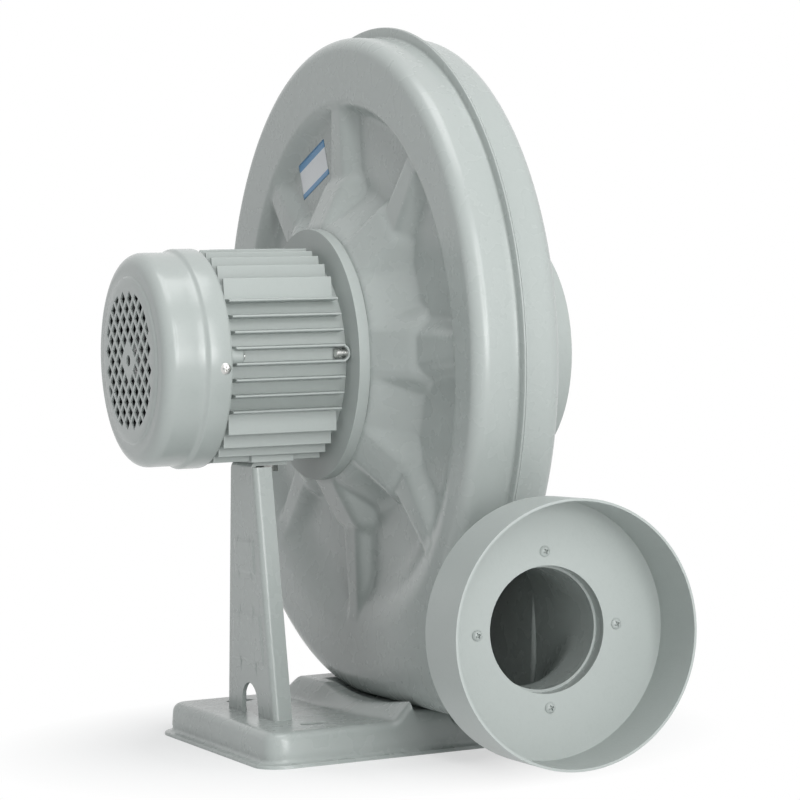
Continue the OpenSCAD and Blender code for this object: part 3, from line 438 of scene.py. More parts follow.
def rim_profile(radius, depth, lip):
    """Inset from the outline and height over the seam, from the lip to the face."""
    root = LIP_ROOT
    has_lip = lip > 0.1
    profile = []
    if has_lip:
        profile += [(-lip, WALL - 0.9), (-lip + 0.25, WALL - 0.2), (-lip + 0.7, WALL), (-root - 0.4, WALL)]
    else:
        profile += [(-0.1, 0.2), (-0.08, 0.5), (-0.06, 0.9), (-0.04, WALL)]
    for i in range(4):
        angle = math.radians(90 - 90 * i / 3)
        corner = (-root * (1 - math.cos(angle)), WALL + root * (1 - math.sin(angle)))
        profile.append(corner if has_lip else (0.0, WALL + root * (i + 1) / 4))
    for i in range(1, 4):
        profile.append((0.0, WALL + root + (depth - radius - WALL - root) * i / 4))
    for i in range(13):
        angle = math.radians(90 * i / 12)
        profile.append((radius * (1 - math.cos(angle)), depth - radius * (1 - math.sin(angle))))
    return profile


class Sheet:
    """Points and faces of one shell, gathered as heights over the seam plane."""

    def __init__(self, forward):
        self.forward = forward
        self.points = []
        self.faces = []

    def put(self, flat, h):
        self.points.append((flat[0], SEAM_Y + self.forward * h, AXIS_H + flat[1]))
        return len(self.points) - 1

    def face(self, *corners):
        self.faces.append(corners if self.forward < 0 else corners[::-1])

    def strip(self, left, right):
        for j in range(len(left) - 1):
            self.face(left[j], right[j], right[j + 1], left[j + 1])


def press_shell(name, depth, forward, bore_r, height, rows):
    """One shell of the housing, a sheet of even thickness. forward: -1 to the motor, 1 to the inlet."""
    sheet = Sheet(forward)
    tongue = tongue_columns(TONGUE_COLUMNS)
    quarters = quarter_columns(COLUMN_DEG)
    bottom = bottom_columns(COLUMN_MM)
    rim_rows = []
    inner = []
    for i, (place, direction) in enumerate(tongue + quarters + bottom):
        steps = i - len(tongue)
        radius = edge_radius(direction) if steps >= 0 else EDGE_R
        lip = LIP_W * min(1.0, max(0.0, steps / LIP_GROWTH))
        rim_rows.append([sheet.put(place - direction * inset, h)
                         for inset, h in rim_profile(radius, depth, lip)])
        inner.append((place - direction * radius, rim_rows[-1][-1]))
    for left, right in zip(rim_rows, rim_rows[1:]):
        sheet.strip(left, right)

    # Columns from the scroll's edge to the bore, and across the mouth an arc of free ends
    first = len(tongue)
    last = first + len(quarters) - 1
    spokes = inner[first:last + 1]
    start, end = inner[last][0], inner[first][0]
    angle_a = math.degrees(math.atan2(start[1], start[0]))
    angle_b = math.degrees(math.atan2(end[1], end[0]))
    count = round((angle_b - angle_a) / COLUMN_DEG)
    free = []
    for i in range(1, count):
        share = i / count
        reach = np.linalg.norm(start) * (1 - share) + np.linalg.norm(end) * share
        reach -= MOUTH_ARC * math.sin(math.pi * share)
        flat = polar(np.zeros(2), reach, angle_a + (angle_b - angle_a) * share)
        free.append((flat, sheet.put(flat, depth)))
    spokes += free
    grid = []
    for flat, known in spokes:
        reach = np.linalg.norm(flat)
        column = [known]
        for share in rows[1:]:
            place = flat / reach * (reach + (bore_r - reach) * share)
            column.append(sheet.put(place, float(height(place[0], place[1]))))
        grid.append(column)
    for i, left in enumerate(grid):
        sheet.strip(left, grid[(i + 1) % len(grid)])

    # Flat face between that arc, the bottom, the mouth and the tongue
    corner = [known for place, known in inner[last:]]
    lower, upper = inner[-1][0], inner[0][0]
    corner += [sheet.put(lower + (upper - lower) * i / MOUTH_POINTS, depth) for i in range(1, MOUTH_POINTS)]
    corner += [known for place, known in inner[:first + 1]]
    corner += [known for place, known in reversed(free)]
    sheet.face(*corner)
    obj = mesh_object(name, sheet.points, sheet.faces)
    thick = obj.modifiers.new("sheet", "SOLIDIFY")
    thick.thickness = WALL * MM
    thick.offset = -1.0
    return obj


def front_height(x, z):
    """Height of the front shell over the seam: ring, recess, ribs and hub."""
    r = np.hypot(x, z)
    from_recess = np.hypot(x, z + RECESS_DROP)
    low = float(ramp(-z, RECESS_LOW_FROM, RECESS_LOW_TO))
    run = RECESS_RUN_TOP + (RECESS_RUN_LOW - RECESS_RUN_TOP) * low
    slope = (FRONT_DEPTH - FLOOR_H) / run
    blend = RECESS_BLEND + RECESS_BLEND_MORE * low
    h = smooth_min(smooth_max(FLOOR_H + (from_recess - RECESS_R + run) * slope, FLOOR_H, blend),
                   FRONT_DEPTH, blend)
    hub_slope = (HUB_H - FLOOR_H) / (HUB_FOOT_R - HUB_FACE_R)
    hub = smooth_min(HUB_H - (r - HUB_FACE_R) * hub_slope, HUB_H, HUB_BLEND)
    h = smooth_max(h, hub, HUB_FOOT_BLEND)
    for i in range(RIB_COUNT):
        angle = 2 * math.pi * i / RIB_COUNT
        along = x * math.cos(angle) + z * math.sin(angle)
        across = abs(z * math.cos(angle) - x * math.sin(angle))
        if along < RIB_START:
            continue
        share = (along - HUB_FOOT_R) / (RECESS_R - HUB_FOOT_R)
        half = RIB_HALF_IN + (RIB_HALF_OUT - RIB_HALF_IN) * share
        top = RIB_TOP_IN + (RIB_TOP_OUT - RIB_TOP_IN) * share
        top = top - max(0.0, from_recess - RECESS_R - 1) * RIB_END_SLOPE
        flank = top - (across - half) * (FRONT_DEPTH - FLOOR_H) / RIB_FLANK
        h = smooth_max(h, smooth_min(flank, top, RIB_BLEND), RIB_FOOT_BLEND)
        arm = smooth_min(HUB_H - (along - HUB_FACE_R) * ARM_SLOPE,
                         ARM_TOP - (along - ARM_END) * ARM_END_SLOPE, ARM_END_BLEND)
        arm_flank = arm - (across - ARM_HALF) * ARM_FLANK_SLOPE
        h = smooth_max(h, smooth_min(arm_flank, min(arm, HUB_H), ARM_BLEND), ARM_FOOT_BLEND)
    return h


def rear_height(x, z):
    """Height of the rear shell over the seam: flat face and the dome up to the inlet neck."""
    r = np.hypot(x, z)
    slope = (NECK_H - REAR_DEPTH) / (NECK_FOOT_R - NECK_R)
    dome = smooth_min(NECK_H - (r - NECK_R) * slope, NECK_H, NECK_BLEND)
    return smooth_max(dome, REAR_DEPTH, NECK_FOOT_BLEND)


def even_rows(count):
    return [j / count for j in range(count + 1)]


FRONT_ROWS = 84
REAR_ROWS = 60
front = press_shell("front_shell_sheet", FRONT_DEPTH, -1, HUB_BORE_R, front_height, even_rows(FRONT_ROWS))
rear = press_shell("rear_shell_sheet", REAR_DEPTH, 1, NECK_BORE_R, rear_height, even_rows(REAR_ROWS))
for obj, node in ((front, "front_shell"), (rear, "rear_shell")):
    dress(obj, materials["paint"])
    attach(obj, "frame")
    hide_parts(node)


# Other pieces: closed or sheet meshes built from rows of points

MEET_M = 0.000005


class Build:
    """Points and faces of one mesh, in millimetres."""

    def __init__(self):
        self.points = []
        self.faces = []

    def row(self, points):
        start = len(self.points)
        self.points.extend(tuple(float(c) for c in p) for p in points)
        return list(range(start, len(self.points)))

    def skin(self, rows, closed=True):
        for low, high in zip(rows, rows[1:]):
            count = len(low)
            for i in range(count if closed else count - 1):
                j = (i + 1) % count
                self.faces.append((low[i], low[j], high[j], high[i]))

    def solid(self, rows):
        """Closed body from rings of points, with flat ends."""
        self.skin(rows)
        self.faces.append(tuple(reversed(rows[0])))
        self.faces.append(tuple(rows[-1]))

    def finish(self, name, node, slot, sheet=0.0, edge=0.0, sharp=35.0):
        obj = mesh_object(name, self.points, self.faces)
        tidy_mesh(obj.data)
        if sheet:
            thick = obj.modifiers.new("sheet", "SOLIDIFY")
            thick.thickness = sheet * MM
            thick.offset = -1.0
            settle(obj)
        obj.data.set_sharp_from_angle(angle=math.radians(sharp))
        if edge:
            round_edge = obj.modifiers.new("round_edge", "BEVEL")
            round_edge.width = edge * MM
            round_edge.segments = 2
            round_edge.limit_method = "ANGLE"
            round_edge.angle_limit = math.radians(sharp)
            normals = obj.modifiers.new("normals", "WEIGHTED_NORMAL")
            normals.keep_sharp = True
        dress(obj, materials[slot])
        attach(obj, "frame")
        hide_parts(node)
        return obj


def tidy_mesh(mesh):
    """Join points that meet and turn all faces outward."""
    work = bmesh.new()
    work.from_mesh(mesh)
    bmesh.ops.remove_doubles(work, verts=work.verts, dist=MEET_M)
    bmesh.ops.recalc_face_normals(work, faces=work.faces)
    work.to_mesh(mesh)
    work.free()


def settle(obj):
    """Turn the object's modifiers into its own mesh."""
    graph = bpy.context.evaluated_depsgraph_get()
    mesh = bpy.data.meshes.new_from_object(obj.evaluated_get(graph))
    obj.modifiers.clear()
    obj.data = mesh


def circle(radius, count):
    """Points of a flat circle about the origin."""
    angles = [2 * math.pi * i / count for i in range(count)]
    return [np.array([radius * math.cos(a), radius * math.sin(a)]) for a in angles]


def ring_y(radius, y, count=128, centre=(0.0, AXIS_H)):
    """Circle of points about an axis along Y."""
    return [(centre[0] + u, y, centre[1] + v) for u, v in circle(radius, count)]


HEAD_ANGLES = np.linspace(0, 2 * math.pi, 40, endpoint=False)
HEAD_SHARES = (1.0, 0.97, 0.9, 0.78, 0.64, 0.54, 0.5, 0.44, 0.36, 0.28, 0.22, 0.16, 0.08)
HEAD_CROWN = 0.7
HEAD_SIDE = 0.3
CROSS_HALF = 0.13
CROSS_REACH = 0.52
CROSS_DEPTH = 0.75


def screw_head(build, place, axis, side, radius, height):
    """Pan head with a cross recess, standing on a place and pointing along an axis."""
    axis, side = np.array(axis, float), np.array(side, float)
    other = np.cross(axis, side)
    rows = [build.row([place + radius * (math.cos(t) * side + math.sin(t) * other)
                       for t in HEAD_ANGLES])]
    for share in HEAD_SHARES:
        ring = []
        for t in HEAD_ANGLES:
            u, v = share * math.cos(t), share * math.sin(t)
            level = height * (1 - share ** 3) * HEAD_CROWN + height * HEAD_SIDE
            if min(abs(u), abs(v)) < CROSS_HALF and max(abs(u), abs(v)) < CROSS_REACH:
                level -= height * CROSS_DEPTH
            ring.append(place + radius * (u * side + v * other) + level * axis)
        rows.append(build.row(ring))
    build.solid(rows)


# Fan cover: a plate with rhombic holes, spun on into the drum and its raised band

COVER_FRONT = -139.2
BARREL_END = -97.2
COVER_R = 66.5
COVER_EDGE = 9.0
BAND_R = 68.6
BAND_W = 14.0
COVER_SHEET = 1.2
DISC_RISE = 1.15
GRILLE_PITCH = 12.8
GRILLE_HALF = 4.75
GRILLE_R = 44.0
PLATE_R = 46.0
CENTRE_HOLE_R = 3.6
COVER_SCREWS = ((-6, (0.26, 0.966, 0.0)), (114, (0, 1, 0)), (234, (0, 1, 0)))
COVER_SCREW_R = 3.5
COVER_SCREW_H = 1.7
COVER_SCREW_Y = BARREL_END - 5.0
SCREW_SINK = 0.3


def cut_by_line(outline, normal, reach):
    """The part of an outline on the near side of a line."""
    kept = []
    for a, b in zip(outline, outline[1:] + outline[:1]):
        da, db = a @ normal - reach, b @ normal - reach
        if da <= 0:
            kept.append(a)
        if da * db < 0:
            kept.append(a + (b - a) * da / (da - db))
    return kept


def grille_outlines():
    """Holes on a lattice turned by 45 degrees, cut off at the edge of the field."""
    holes = [[polar(np.zeros(2), CENTRE_HOLE_R, 15 * i) for i in range(24)]]
    for j in range(-7, 8):
        for i in range(-8, 9):
            if (i + j) % 2 == 0 or abs(i) + abs(j) == 1:
                continue
            centre = np.array([i, j]) * GRILLE_PITCH / 2
            reach = np.linalg.norm(centre)
            outline = [centre + GRILLE_HALF * np.array(d) for d in ((1, 0), (0, 1), (-1, 0), (0, -1))]
            outline = cut_by_line(outline, centre / reach, GRILLE_R)
            if reach < GRILLE_R and len(outline) > 2:
                holes.append(outline)
    return holes


def flat_plate(outlines):
    """Points and faces of a flat plate, the first outline its edge and the others its holes."""
    curve = bpy.data.curves.new("plate", "CURVE")
    curve.dimensions = "2D"
    curve.fill_mode = "FRONT"
    for outline in outlines:
        spline = curve.splines.new("POLY")
        spline.points.add(len(outline) - 1)
        for point, flat in zip(spline.points, outline):
            point.co = (flat[0], flat[1], 0.0, 1.0)
        spline.use_cyclic_u = True
    obj = link(bpy.data.objects.new("plate", curve))
    mesh = bpy.data.meshes.new_from_object(obj.evaluated_get(bpy.context.evaluated_depsgraph_get()))
    points = [(v.co.x, v.co.y) for v in mesh.vertices]
    faces = [tuple(p.vertices) for p in mesh.polygons]
    bpy.data.objects.remove(obj)
    bpy.data.curves.remove(curve)
    bpy.data.meshes.remove(mesh)
    return points, faces


def build_cover():
    build = Build()
    disc_y = COVER_FRONT - DISC_RISE
    flat, faces = flat_plate([circle(PLATE_R, 128)] + grille_outlines())
    start = build.row([(x, disc_y, AXIS_H + z) for x, z in flat])[0]
    build.faces += [tuple(start + v for v in face) for face in faces]
    bend_r = COVER_R - COVER_EDGE
    band_y = BARREL_END - BAND_W
    profile = [(PLATE_R, disc_y), (51.0, disc_y), (51.4, disc_y + 0.2), (52.0, COVER_FRONT - 0.2),
               (52.5, COVER_FRONT), (bend_r - 1, COVER_FRONT)]
    for i in range(13):
        t = math.radians(90 * i / 12)
        profile.append((bend_r + COVER_EDGE * math.sin(t),
                        COVER_FRONT + COVER_EDGE * (1 - math.cos(t))))
    profile += [(COVER_R, band_y - 8.0), (COVER_R, band_y - 3.2), (COVER_R + 0.15, band_y - 2.4),
                (COVER_R + 0.7, band_y - 1.5), (BAND_R - 0.7, band_y - 0.7), (BAND_R - 0.15, band_y),
                (BAND_R, band_y + 0.9), (BAND_R, BARREL_END - 1.6), (BAND_R - 0.15, BARREL_END - 0.8),
                (BAND_R - 0.8, BARREL_END)]
    build.skin([build.row(ring_y(r, y)) for r, y in profile])
    build.finish("fan_cover_sheet", "fan_cover", "cover_paint", sheet=COVER_SHEET, sharp=32.0)


def build_cover_screws():
    build = Build()
    for degrees, cross in COVER_SCREWS:
        out = np.array([math.cos(math.radians(degrees)), 0.0, math.sin(math.radians(degrees))])
        place = np.array([0.0, COVER_SCREW_Y, AXIS_H]) + out * (BAND_R - SCREW_SINK)
        screw_head(build, place, out, cross, COVER_SCREW_R, COVER_SCREW_H)
    build.finish("cover_screw_heads", "cover_screws", "zinc")


# Motor: barrel with thin tapering fins, a half-ring boss at each side's front and round ones behind

MOTOR_Y = -19.2
BARREL_R = 59.5
BARREL_WALL = 3.5
FIN_R = 68.0
FIN_PITCH = 9.67
SIDE_FINS = 8
TOP_FINS_EACH_WAY = 5
FIN_FRONT = -23.0
FIN_BACK = -94.4
FIN_ROOT = 1.5
FIN_TIP = 0.75
FIN_SINK = 1.5
FIN_ROUND = 0.5
FIN_BOSS_CLEAR = 10.0
PAD_DROP = 66.0
FIN_SHORT = PAD_DROP - 0.4
PAD_LOW = (-24.0, -70.4, AXIS_H - PAD_DROP)
PAD_HIGH = (24.0, -42.4, AXIS_H - 52.0)
TERMINAL_LOW = (-PAD_DROP, -83.4, AXIS_H - 24.0)
TERMINAL_HIGH = (-52.0, -37.4, AXIS_H + 24.0)
BOSS_Y = -24.9
BOSS_R = 5.5
BOSS_WALL = 1.2
BOSS_X = (BARREL_R - 1.5, FIN_R - 1.2)
REAR_BOSS_R = BARREL_R + 2.0
REAR_BOSS = ((4.9, BARREL_END), (4.9, -90.4), (4.5, -89.2), (3.4, -88.4), (1.6, -88.0))
FRONT_SCREW_R = BARREL_R + 3.3
FRONT_SCREW = ((2.3, MOTOR_Y + 5), (2.3, -25.0), (3.2, -25.0), (3.2, -27.4), (2.6, -28.0))
REAR_SCREW_R = BARREL_R + 1.0
REAR_SCREW = ((2.4, -87.2), (2.4, -101.2), (3.6, -101.2), (3.6, -104.2))


def add_fin(build, offset, turn, front, back, reach):
    """Fin at an offset from the middle plane, turned about the axis by quarters."""
    root = math.sqrt(BARREL_R ** 2 - offset ** 2) - FIN_SINK
    tip = min(math.sqrt(FIN_R ** 2 - offset ** 2), reach)
    section = [(-FIN_ROOT, root), (-FIN_TIP, tip - FIN_ROUND), (-FIN_TIP * 0.4, tip),
               (FIN_TIP * 0.4, tip), (FIN_TIP, tip - FIN_ROUND), (FIN_ROOT, root)]
    rows = []
    for y in (back, front):
        ring = []
        for u, v in section:
            across = offset + u
            x, z = (across, v) if turn % 2 else (v, across)
            flip = -1 if turn > 1 else 1
            ring.append((x if turn % 2 else flip * x, y, AXIS_H + (flip * z if turn % 2 else z)))
        rows.append(build.row(ring))
    build.solid(rows)


def block(build, low, high):
    """Upright box between two corners."""
    rows = []
    for y in (low[1], high[1]):
        rows.append(build.row([(low[0], y, low[2]), (high[0], y, low[2]),
                               (high[0], y, high[2]), (low[0], y, high[2])]))
    build.solid(rows)


def build_motor():
    build = Build()
    tube = [build.row(ring_y(r, y, 180)) for r, y in (
        (BARREL_R, BARREL_END), (BARREL_R, MOTOR_Y), (BARREL_R - BARREL_WALL, MOTOR_Y),
        (BARREL_R - BARREL_WALL, BARREL_END))]
    build.skin(tube + tube[:1])
    for side in (0, 2):
        for i in range(SIDE_FINS):
            add_fin(build, (i - (SIDE_FINS - 1) / 2) * FIN_PITCH, side, FIN_FRONT, FIN_BACK,
                    FIN_R if side == 0 else FIN_SHORT)
    for side in (1, 3):
        for i in range(-TOP_FINS_EACH_WAY, TOP_FINS_EACH_WAY + 1):
            clear = FIN_BOSS_CLEAR if i == 0 else 0.0
            add_fin(build, i * FIN_PITCH, side, FIN_FRONT - clear, FIN_BACK + clear,
                    FIN_R if side == 1 else FIN_SHORT)
    block(build, PAD_LOW, PAD_HIGH)
    block(build, TERMINAL_LOW, TERMINAL_HIGH)
    for side in (1, -1):
        rows = []
        for x in BOSS_X:
            outer = [(side * x, BOSS_Y + BOSS_R * math.cos(t), AXIS_H + BOSS_R * math.sin(t))
                     for t in np.linspace(-math.pi / 2, math.pi / 2, 17)]
            hole_r = BOSS_R - BOSS_WALL
            inner = [(side * x, BOSS_Y + hole_r * math.cos(t), AXIS_H + hole_r * math.sin(t))
                     for t in np.linspace(math.pi / 2, -math.pi / 2, 17)]
            rows.append(build.row(outer + inner))
        build.solid(rows)
    for quarter in range(4):
        out = polar(np.zeros(2), REAR_BOSS_R, 90 * quarter)
        build.solid([build.row(ring_y(r, y, 32, (out[0], AXIS_H + out[1]))) for r, y in REAR_BOSS])
    build.finish("motor_body_cast", "motor_body", "cast_paint", edge=0.25, sharp=40.0)


def build_shield_screws():
    build = Build()
    for quarter in range(4):
        for reach, rows in ((FRONT_SCREW_R, FRONT_SCREW), (REAR_SCREW_R, REAR_SCREW)):
            out = polar(np.zeros(2), reach, 90 * quarter)
            build.solid([build.row(ring_y(r, y, 24, (out[0], AXIS_H + out[1]))) for r, y in rows])
    build.finish("shield_screw_set", "shield_screws", "zinc")


# Motor stand: a tapering channel of bent sheet with embossed panels and an arch between its feet

STAND_Y = -68.4
STAND_FOOT = 41.0
STAND_TOP = 21.0
STAND_FLANGE = 12.0
STAND_SHEET = 2.5
STAND_BEND = 3.4
STAND_TAB = 24.0
STAND_Z1 = AXIS_H - PAD_DROP
TRAY_H = 20.5
ARCH_R = 14.0
ARCH_Z = TRAY_H + 6.0
# Each panel's lower and upper height, and its half width at both
PANELS = ((110.5, 130.5, 16.5, 16.5), (54.5, 84.5, 27.0, 23.0))
PANEL_RISE = 0.75
PANEL_EDGE = 1.3
STAND_COLUMNS = 160
STAND_ROWS = 200
TAB_MIDDLE = 12.0


def stand_half(z):
    """Half width of the stand at a height."""
    return STAND_FOOT + (STAND_TOP - STAND_FOOT) * (z - TRAY_H) / (STAND_Z1 - TRAY_H)


def panel_rise(x, z):
    """Height of the embossing of the web's two panels."""
    rise = 0.0
    for z0, z1, half0, half1 in PANELS:
        half = half0 + (half1 - half0) * (z - z0) / (z1 - z0)
        inside = min(half - abs(x), z - z0, z1 - z)
        rise += PANEL_RISE * float(ramp(inside, -PANEL_EDGE, PANEL_EDGE))
    return rise


def stand_row(t, z_low, z_high, steps):
    """One upright line of the channel, at a share t from the left flange's edge to the right one's."""
    line = []
    for k in range(steps + 1):
        z = z_low + (z_high - z_low) * k / steps
        half = stand_half(z)
        run = 2 * half - 2 * STAND_BEND
        curve = STAND_BEND * math.pi / 2
        flange = STAND_FLANGE - STAND_BEND
        s = t * (2 * flange + 2 * curve + run)
        mirrored = s > flange + curve + run / 2
        if mirrored:
            s = 2 * flange + 2 * curve + run - s
        if s < flange:
            x, y = -half, STAND_Y + STAND_FLANGE - s
        elif s < flange + curve:
            a = (s - flange) / STAND_BEND
            x = -half + STAND_BEND * (1 - math.cos(a))
            y = STAND_Y + STAND_BEND * (1 - math.sin(a))
        else:
            x, y = -half + STAND_BEND + s - flange - curve, STAND_Y
        x = -x if mirrored else x
        if y == STAND_Y:
            y -= panel_rise(x, z)
        line.append((x, y, z))
    return line


def build_stand():
    build = Build()
    rows = []
    high = STAND_Z1 - STAND_BEND
    for i in range(STAND_COLUMNS + 1):
        t = i / STAND_COLUMNS
        low = TRAY_H
        # The foot's height depends on x and x on the height, so a few rounds settle both
        for _ in range(6):
            x = stand_row(t, low, low + 1.0, 1)[0][0]
            low = max(TRAY_H, ARCH_Z + math.sqrt(ARCH_R ** 2 - x * x)) if abs(x) < ARCH_R else TRAY_H
        line = stand_row(t, low, high, STAND_ROWS)
        x, y = line[-1][:2]
        on_web = y <= STAND_Y + 0.01
        if on_web:
            for k in range(1, 7):
                a = math.radians(15 * k)
                line.append((x, STAND_Y + STAND_BEND * (1 - math.cos(a)),
                             high + STAND_BEND * math.sin(a)))
            line.append((x, STAND_Y + TAB_MIDDLE, STAND_Z1))
            line.append((x, STAND_Y + STAND_TAB, STAND_Z1))
        rows.append(build.row(line))
    for left, right in zip(rows, rows[1:]):
        count = min(len(left), len(right))
        for k in range(count - 1):
            build.faces.append((left[k], right[k], right[k + 1], left[k + 1]))
    build.finish("motor_stand_sheet", "motor_stand", "paint", sheet=STAND_SHEET, sharp=35.0)


# Base tray: a pressed sheet with a flared rim, a saddle that cradles the housing, and four slots

TRAY_HALF = 97.5
TRAY_CORNER = 18.0
TRAY_SHEET = 2.0
SLOT_LONG = 18.0
SLOT_WIDE = 8.0
SLOT_PITCH = 128.0
SLOT_SHIFT = 13.0
RIDGE_X = 30.0
RIDGE_SPAN = 60.0
RIDGE_BOW = 6.0
RIDGE_LOW = 27.0
RIDGE_HIGH = 32.3
RIDGE_ENDS = (-92.0, -70.0)
RIDGE_FOOT_Y = -19.0
RIDGE_FOOT_SHIFT = 9.0
RIDGE_FOOT_ENDS = (30.0, 92.0)
RIDGE_RISE = 15.0
RIDGE_BACK = (3.0, 17.0)
LIP_GROOVE = 3.0
FACE_Y = SEAM_Y - FRONT_DEPTH
BACK_Y = SEAM_Y + REAR_DEPTH
GAP = 0.3
# Inset from the footprint and height over the floor
TRAY_PROFILE = ((0.0, 0.0), (0.0, 1.4), (0.5, 2.1), (3.0, 2.4), (4.4, 2.9), (5.2, 3.8), (5.3, 5.0),
                (5.1, 6.2), (5.2, 9.0), (5.5, 12.0), (5.8, 14.6))
TRAY_EDGE = 5.6
TRAY_EDGE_INSET = 5.9
TRAY_RINGS = 80
SIDE_STEPS = 32
CUTTER_Z = (10.0, 30.0)


def housing_bottom(x):
    """Height of the housing's underside over the floor."""
    radius = SCROLL_R + 2 * SCROLL_STEP
    across = min(0.0, x - CENTRE_3[0])
    return AXIS_H + CENTRE_3[1] - math.sqrt(radius ** 2 - across ** 2)


def tray_height(x, y):
    """Height of the tray's top, with the saddle, which stays clear of the housing and its lip."""
    ridge = min(RIDGE_HIGH, RIDGE_LOW + RIDGE_BOW * ((x - RIDGE_X) / RIDGE_SPAN) ** 2)
    ridge = TRAY_H + (ridge - TRAY_H) * float(ramp(x, *RIDGE_ENDS))
    foot = RIDGE_FOOT_Y + RIDGE_FOOT_SHIFT * float(ramp(x, *RIDGE_FOOT_ENDS))
    front = float(ramp(y, foot, foot + RIDGE_RISE))
    back = 1.0 - float(ramp(y, BACK_Y + RIDGE_BACK[0], BACK_Y + RIDGE_BACK[1]))
    height = TRAY_H + (ridge - TRAY_H) * min(front, back)
    under = housing_bottom(x) - GAP
    if FACE_Y - GAP < y < BACK_Y + GAP:
        height = min(height, under)
    if abs(y - SEAM_Y) < LIP_GROOVE:
        height = min(height, under - LIP_W)
    return height


def tray_outline(inset):
    """Rounded square of points, with even steps along its sides."""
    half = TRAY_HALF - inset
    corner = max(TRAY_CORNER - inset, 2.0)
    line = []
    for quarter in range(4):
        turn = math.radians(90 * quarter)
        middle = half - corner
        side = [(half, middle * (k / SIDE_STEPS - 1)) for k in range(2 * SIDE_STEPS)]
        arc = [(middle + corner * math.cos(math.radians(a)), middle + corner * math.sin(math.radians(a)))
               for a in np.linspace(0, 90, 9)[:-1]]
        for x, y in side + arc:
            line.append((x * math.cos(turn) - y * math.sin(turn),
                         x * math.sin(turn) + y * math.cos(turn)))
    return line


def slot_cutter():
    """Four upright bars with round ends, to be taken out of the tray."""
    build = Build()
    straight = (SLOT_LONG - SLOT_WIDE) / 2
    turns = list(range(0, 181, 15)) + list(range(180, 361, 15))[:-1]
    for x in (-1, 1):
        for y in (-1, 1):
            centre = np.array([x * SLOT_PITCH / 2, SLOT_SHIFT + y * SLOT_PITCH / 2])
            outline = [centre + (0, straight if a < 180 else -straight)
                       + polar(np.zeros(2), SLOT_WIDE / 2, a) for a in turns]
            build.solid([build.row([(p[0], p[1], z) for p in outline]) for z in CUTTER_Z])
    obj = mesh_object("slot_cutter", build.points, build.faces)
    tidy_mesh(obj.data)
    return obj


def build_tray():
    build = Build()
    profile = list(TRAY_PROFILE)
    for i in range(1, 9):
        a = math.radians(90 * i / 8)
        profile.append((TRAY_EDGE_INSET + TRAY_EDGE * (1 - math.cos(a)),
                        TRAY_H - TRAY_EDGE + TRAY_EDGE * math.sin(a)))
    rows = []
    last = tray_outline(profile[-1][0])
    lift = [tray_height(x, y) - TRAY_H for x, y in last]
    for inset, z in profile:
        share = float(ramp(z, 5.0, TRAY_H))
        outline = tray_outline(inset)
        rows.append(build.row([(x, y, z + rise * share) for (x, y), rise in zip(outline, lift)]))
    for k in range(1, TRAY_RINGS):
        scale = 1 - k / TRAY_RINGS
        rows.append(build.row([(x * scale, y * scale, tray_height(x * scale, y * scale))
                               for x, y in last]))
    build.skin(rows)
    build.faces.append(tuple(rows[-1]))
    obj = build.finish("base_tray_sheet", "base_tray", "paint", sheet=TRAY_SHEET, sharp=38.0)
    cutter = slot_cutter()
    cut = obj.modifiers.new("slots", "BOOLEAN")
    cut.operation = "DIFFERENCE"
    cut.object = cutter
    settle(obj)
    bpy.data.objects.remove(cutter)


# Outlet throat: a loft from the housing's mouth to the round pipe, with the pipe's step inside

MOUTH_TOP = TONGUE[1] - TONGUE_R
PIPE_WALL = 1.5
PIPE_STEP = 7.0
PIPE_FLANGE_R = 51.0
PIPE_ANGLES = np.linspace(0, 2 * math.pi, 96, endpoint=False)
LOW_CORNER_R = 13.0
LOFT_LEAD = 4.0
PLATE_GAP = 0.02
COLLAR_SHEET = 1.5
OUTLET_SCREW_REACH = 44.0
OUTLET_SCREW_R = 3.1
OUTLET_SCREW_H = 1.8
OUTLET_CROSS = (0, 0.9, 0.436)


def throat_ring(x, inset, radius):
    """Section of the throat at a place along X: the rounded mouth, turning into the pipe's circle."""
    share = float(ramp(x, MOUTH_X - LOFT_LEAD, PIPE_X))
    low, high = AXIS_H - SCROLL_DROP + inset, AXIS_H + MOUTH_TOP - inset
    half_y, half_z = (BACK_Y - FACE_Y) / 2 - inset, (high - low) / 2
    middle = np.array([(FACE_Y + BACK_Y) / 2, (low + high) / 2])
    ring = []
    for a in PIPE_ANGLES:
        c, s = math.cos(a), math.sin(a)
        corner = LOW_CORNER_R if s < 0 else EDGE_R
        power = 2.0 / (1.0 + min(half_y, half_z) / corner)
        square = middle + (half_y * math.copysign(abs(c) ** power, c),
                           half_z * math.copysign(abs(s) ** power, s))
        on_pipe = np.array([OUTLET_Y + radius * c, OUTLET_Z + radius * s])
        spot = square * (1 - share) + on_pipe * share
        ring.append((x, spot[0], spot[1]))
    return ring


def build_throat():
    build = Build()
    bore = PIPE_R - 2 * PIPE_WALL
    places = list(np.linspace(MOUTH_X, PIPE_X, 30))
    rows = [throat_ring(x, 0.0, PIPE_R) for x in places]
    plate = PLATE_X - PLATE_GAP
    for x, radius in ((plate - PIPE_WALL, PIPE_R), (plate - PIPE_WALL, PIPE_FLANGE_R),
                      (plate, PIPE_FLANGE_R), (plate, PIPE_R - PIPE_WALL),
                      (plate - PIPE_STEP, PIPE_R - PIPE_WALL), (plate - PIPE_STEP, bore)):
        rows.append([(x, OUTLET_Y + radius * math.cos(a), OUTLET_Z + radius * math.sin(a))
                     for a in PIPE_ANGLES])
    rows += [throat_ring(x, WALL, bore) for x in reversed(places)]
    rings = [build.row(row) for row in rows]
    build.skin(rings + rings[:1])
    build.finish("outlet_throat_sheet", "outlet_throat", "paint", sharp=32.0)


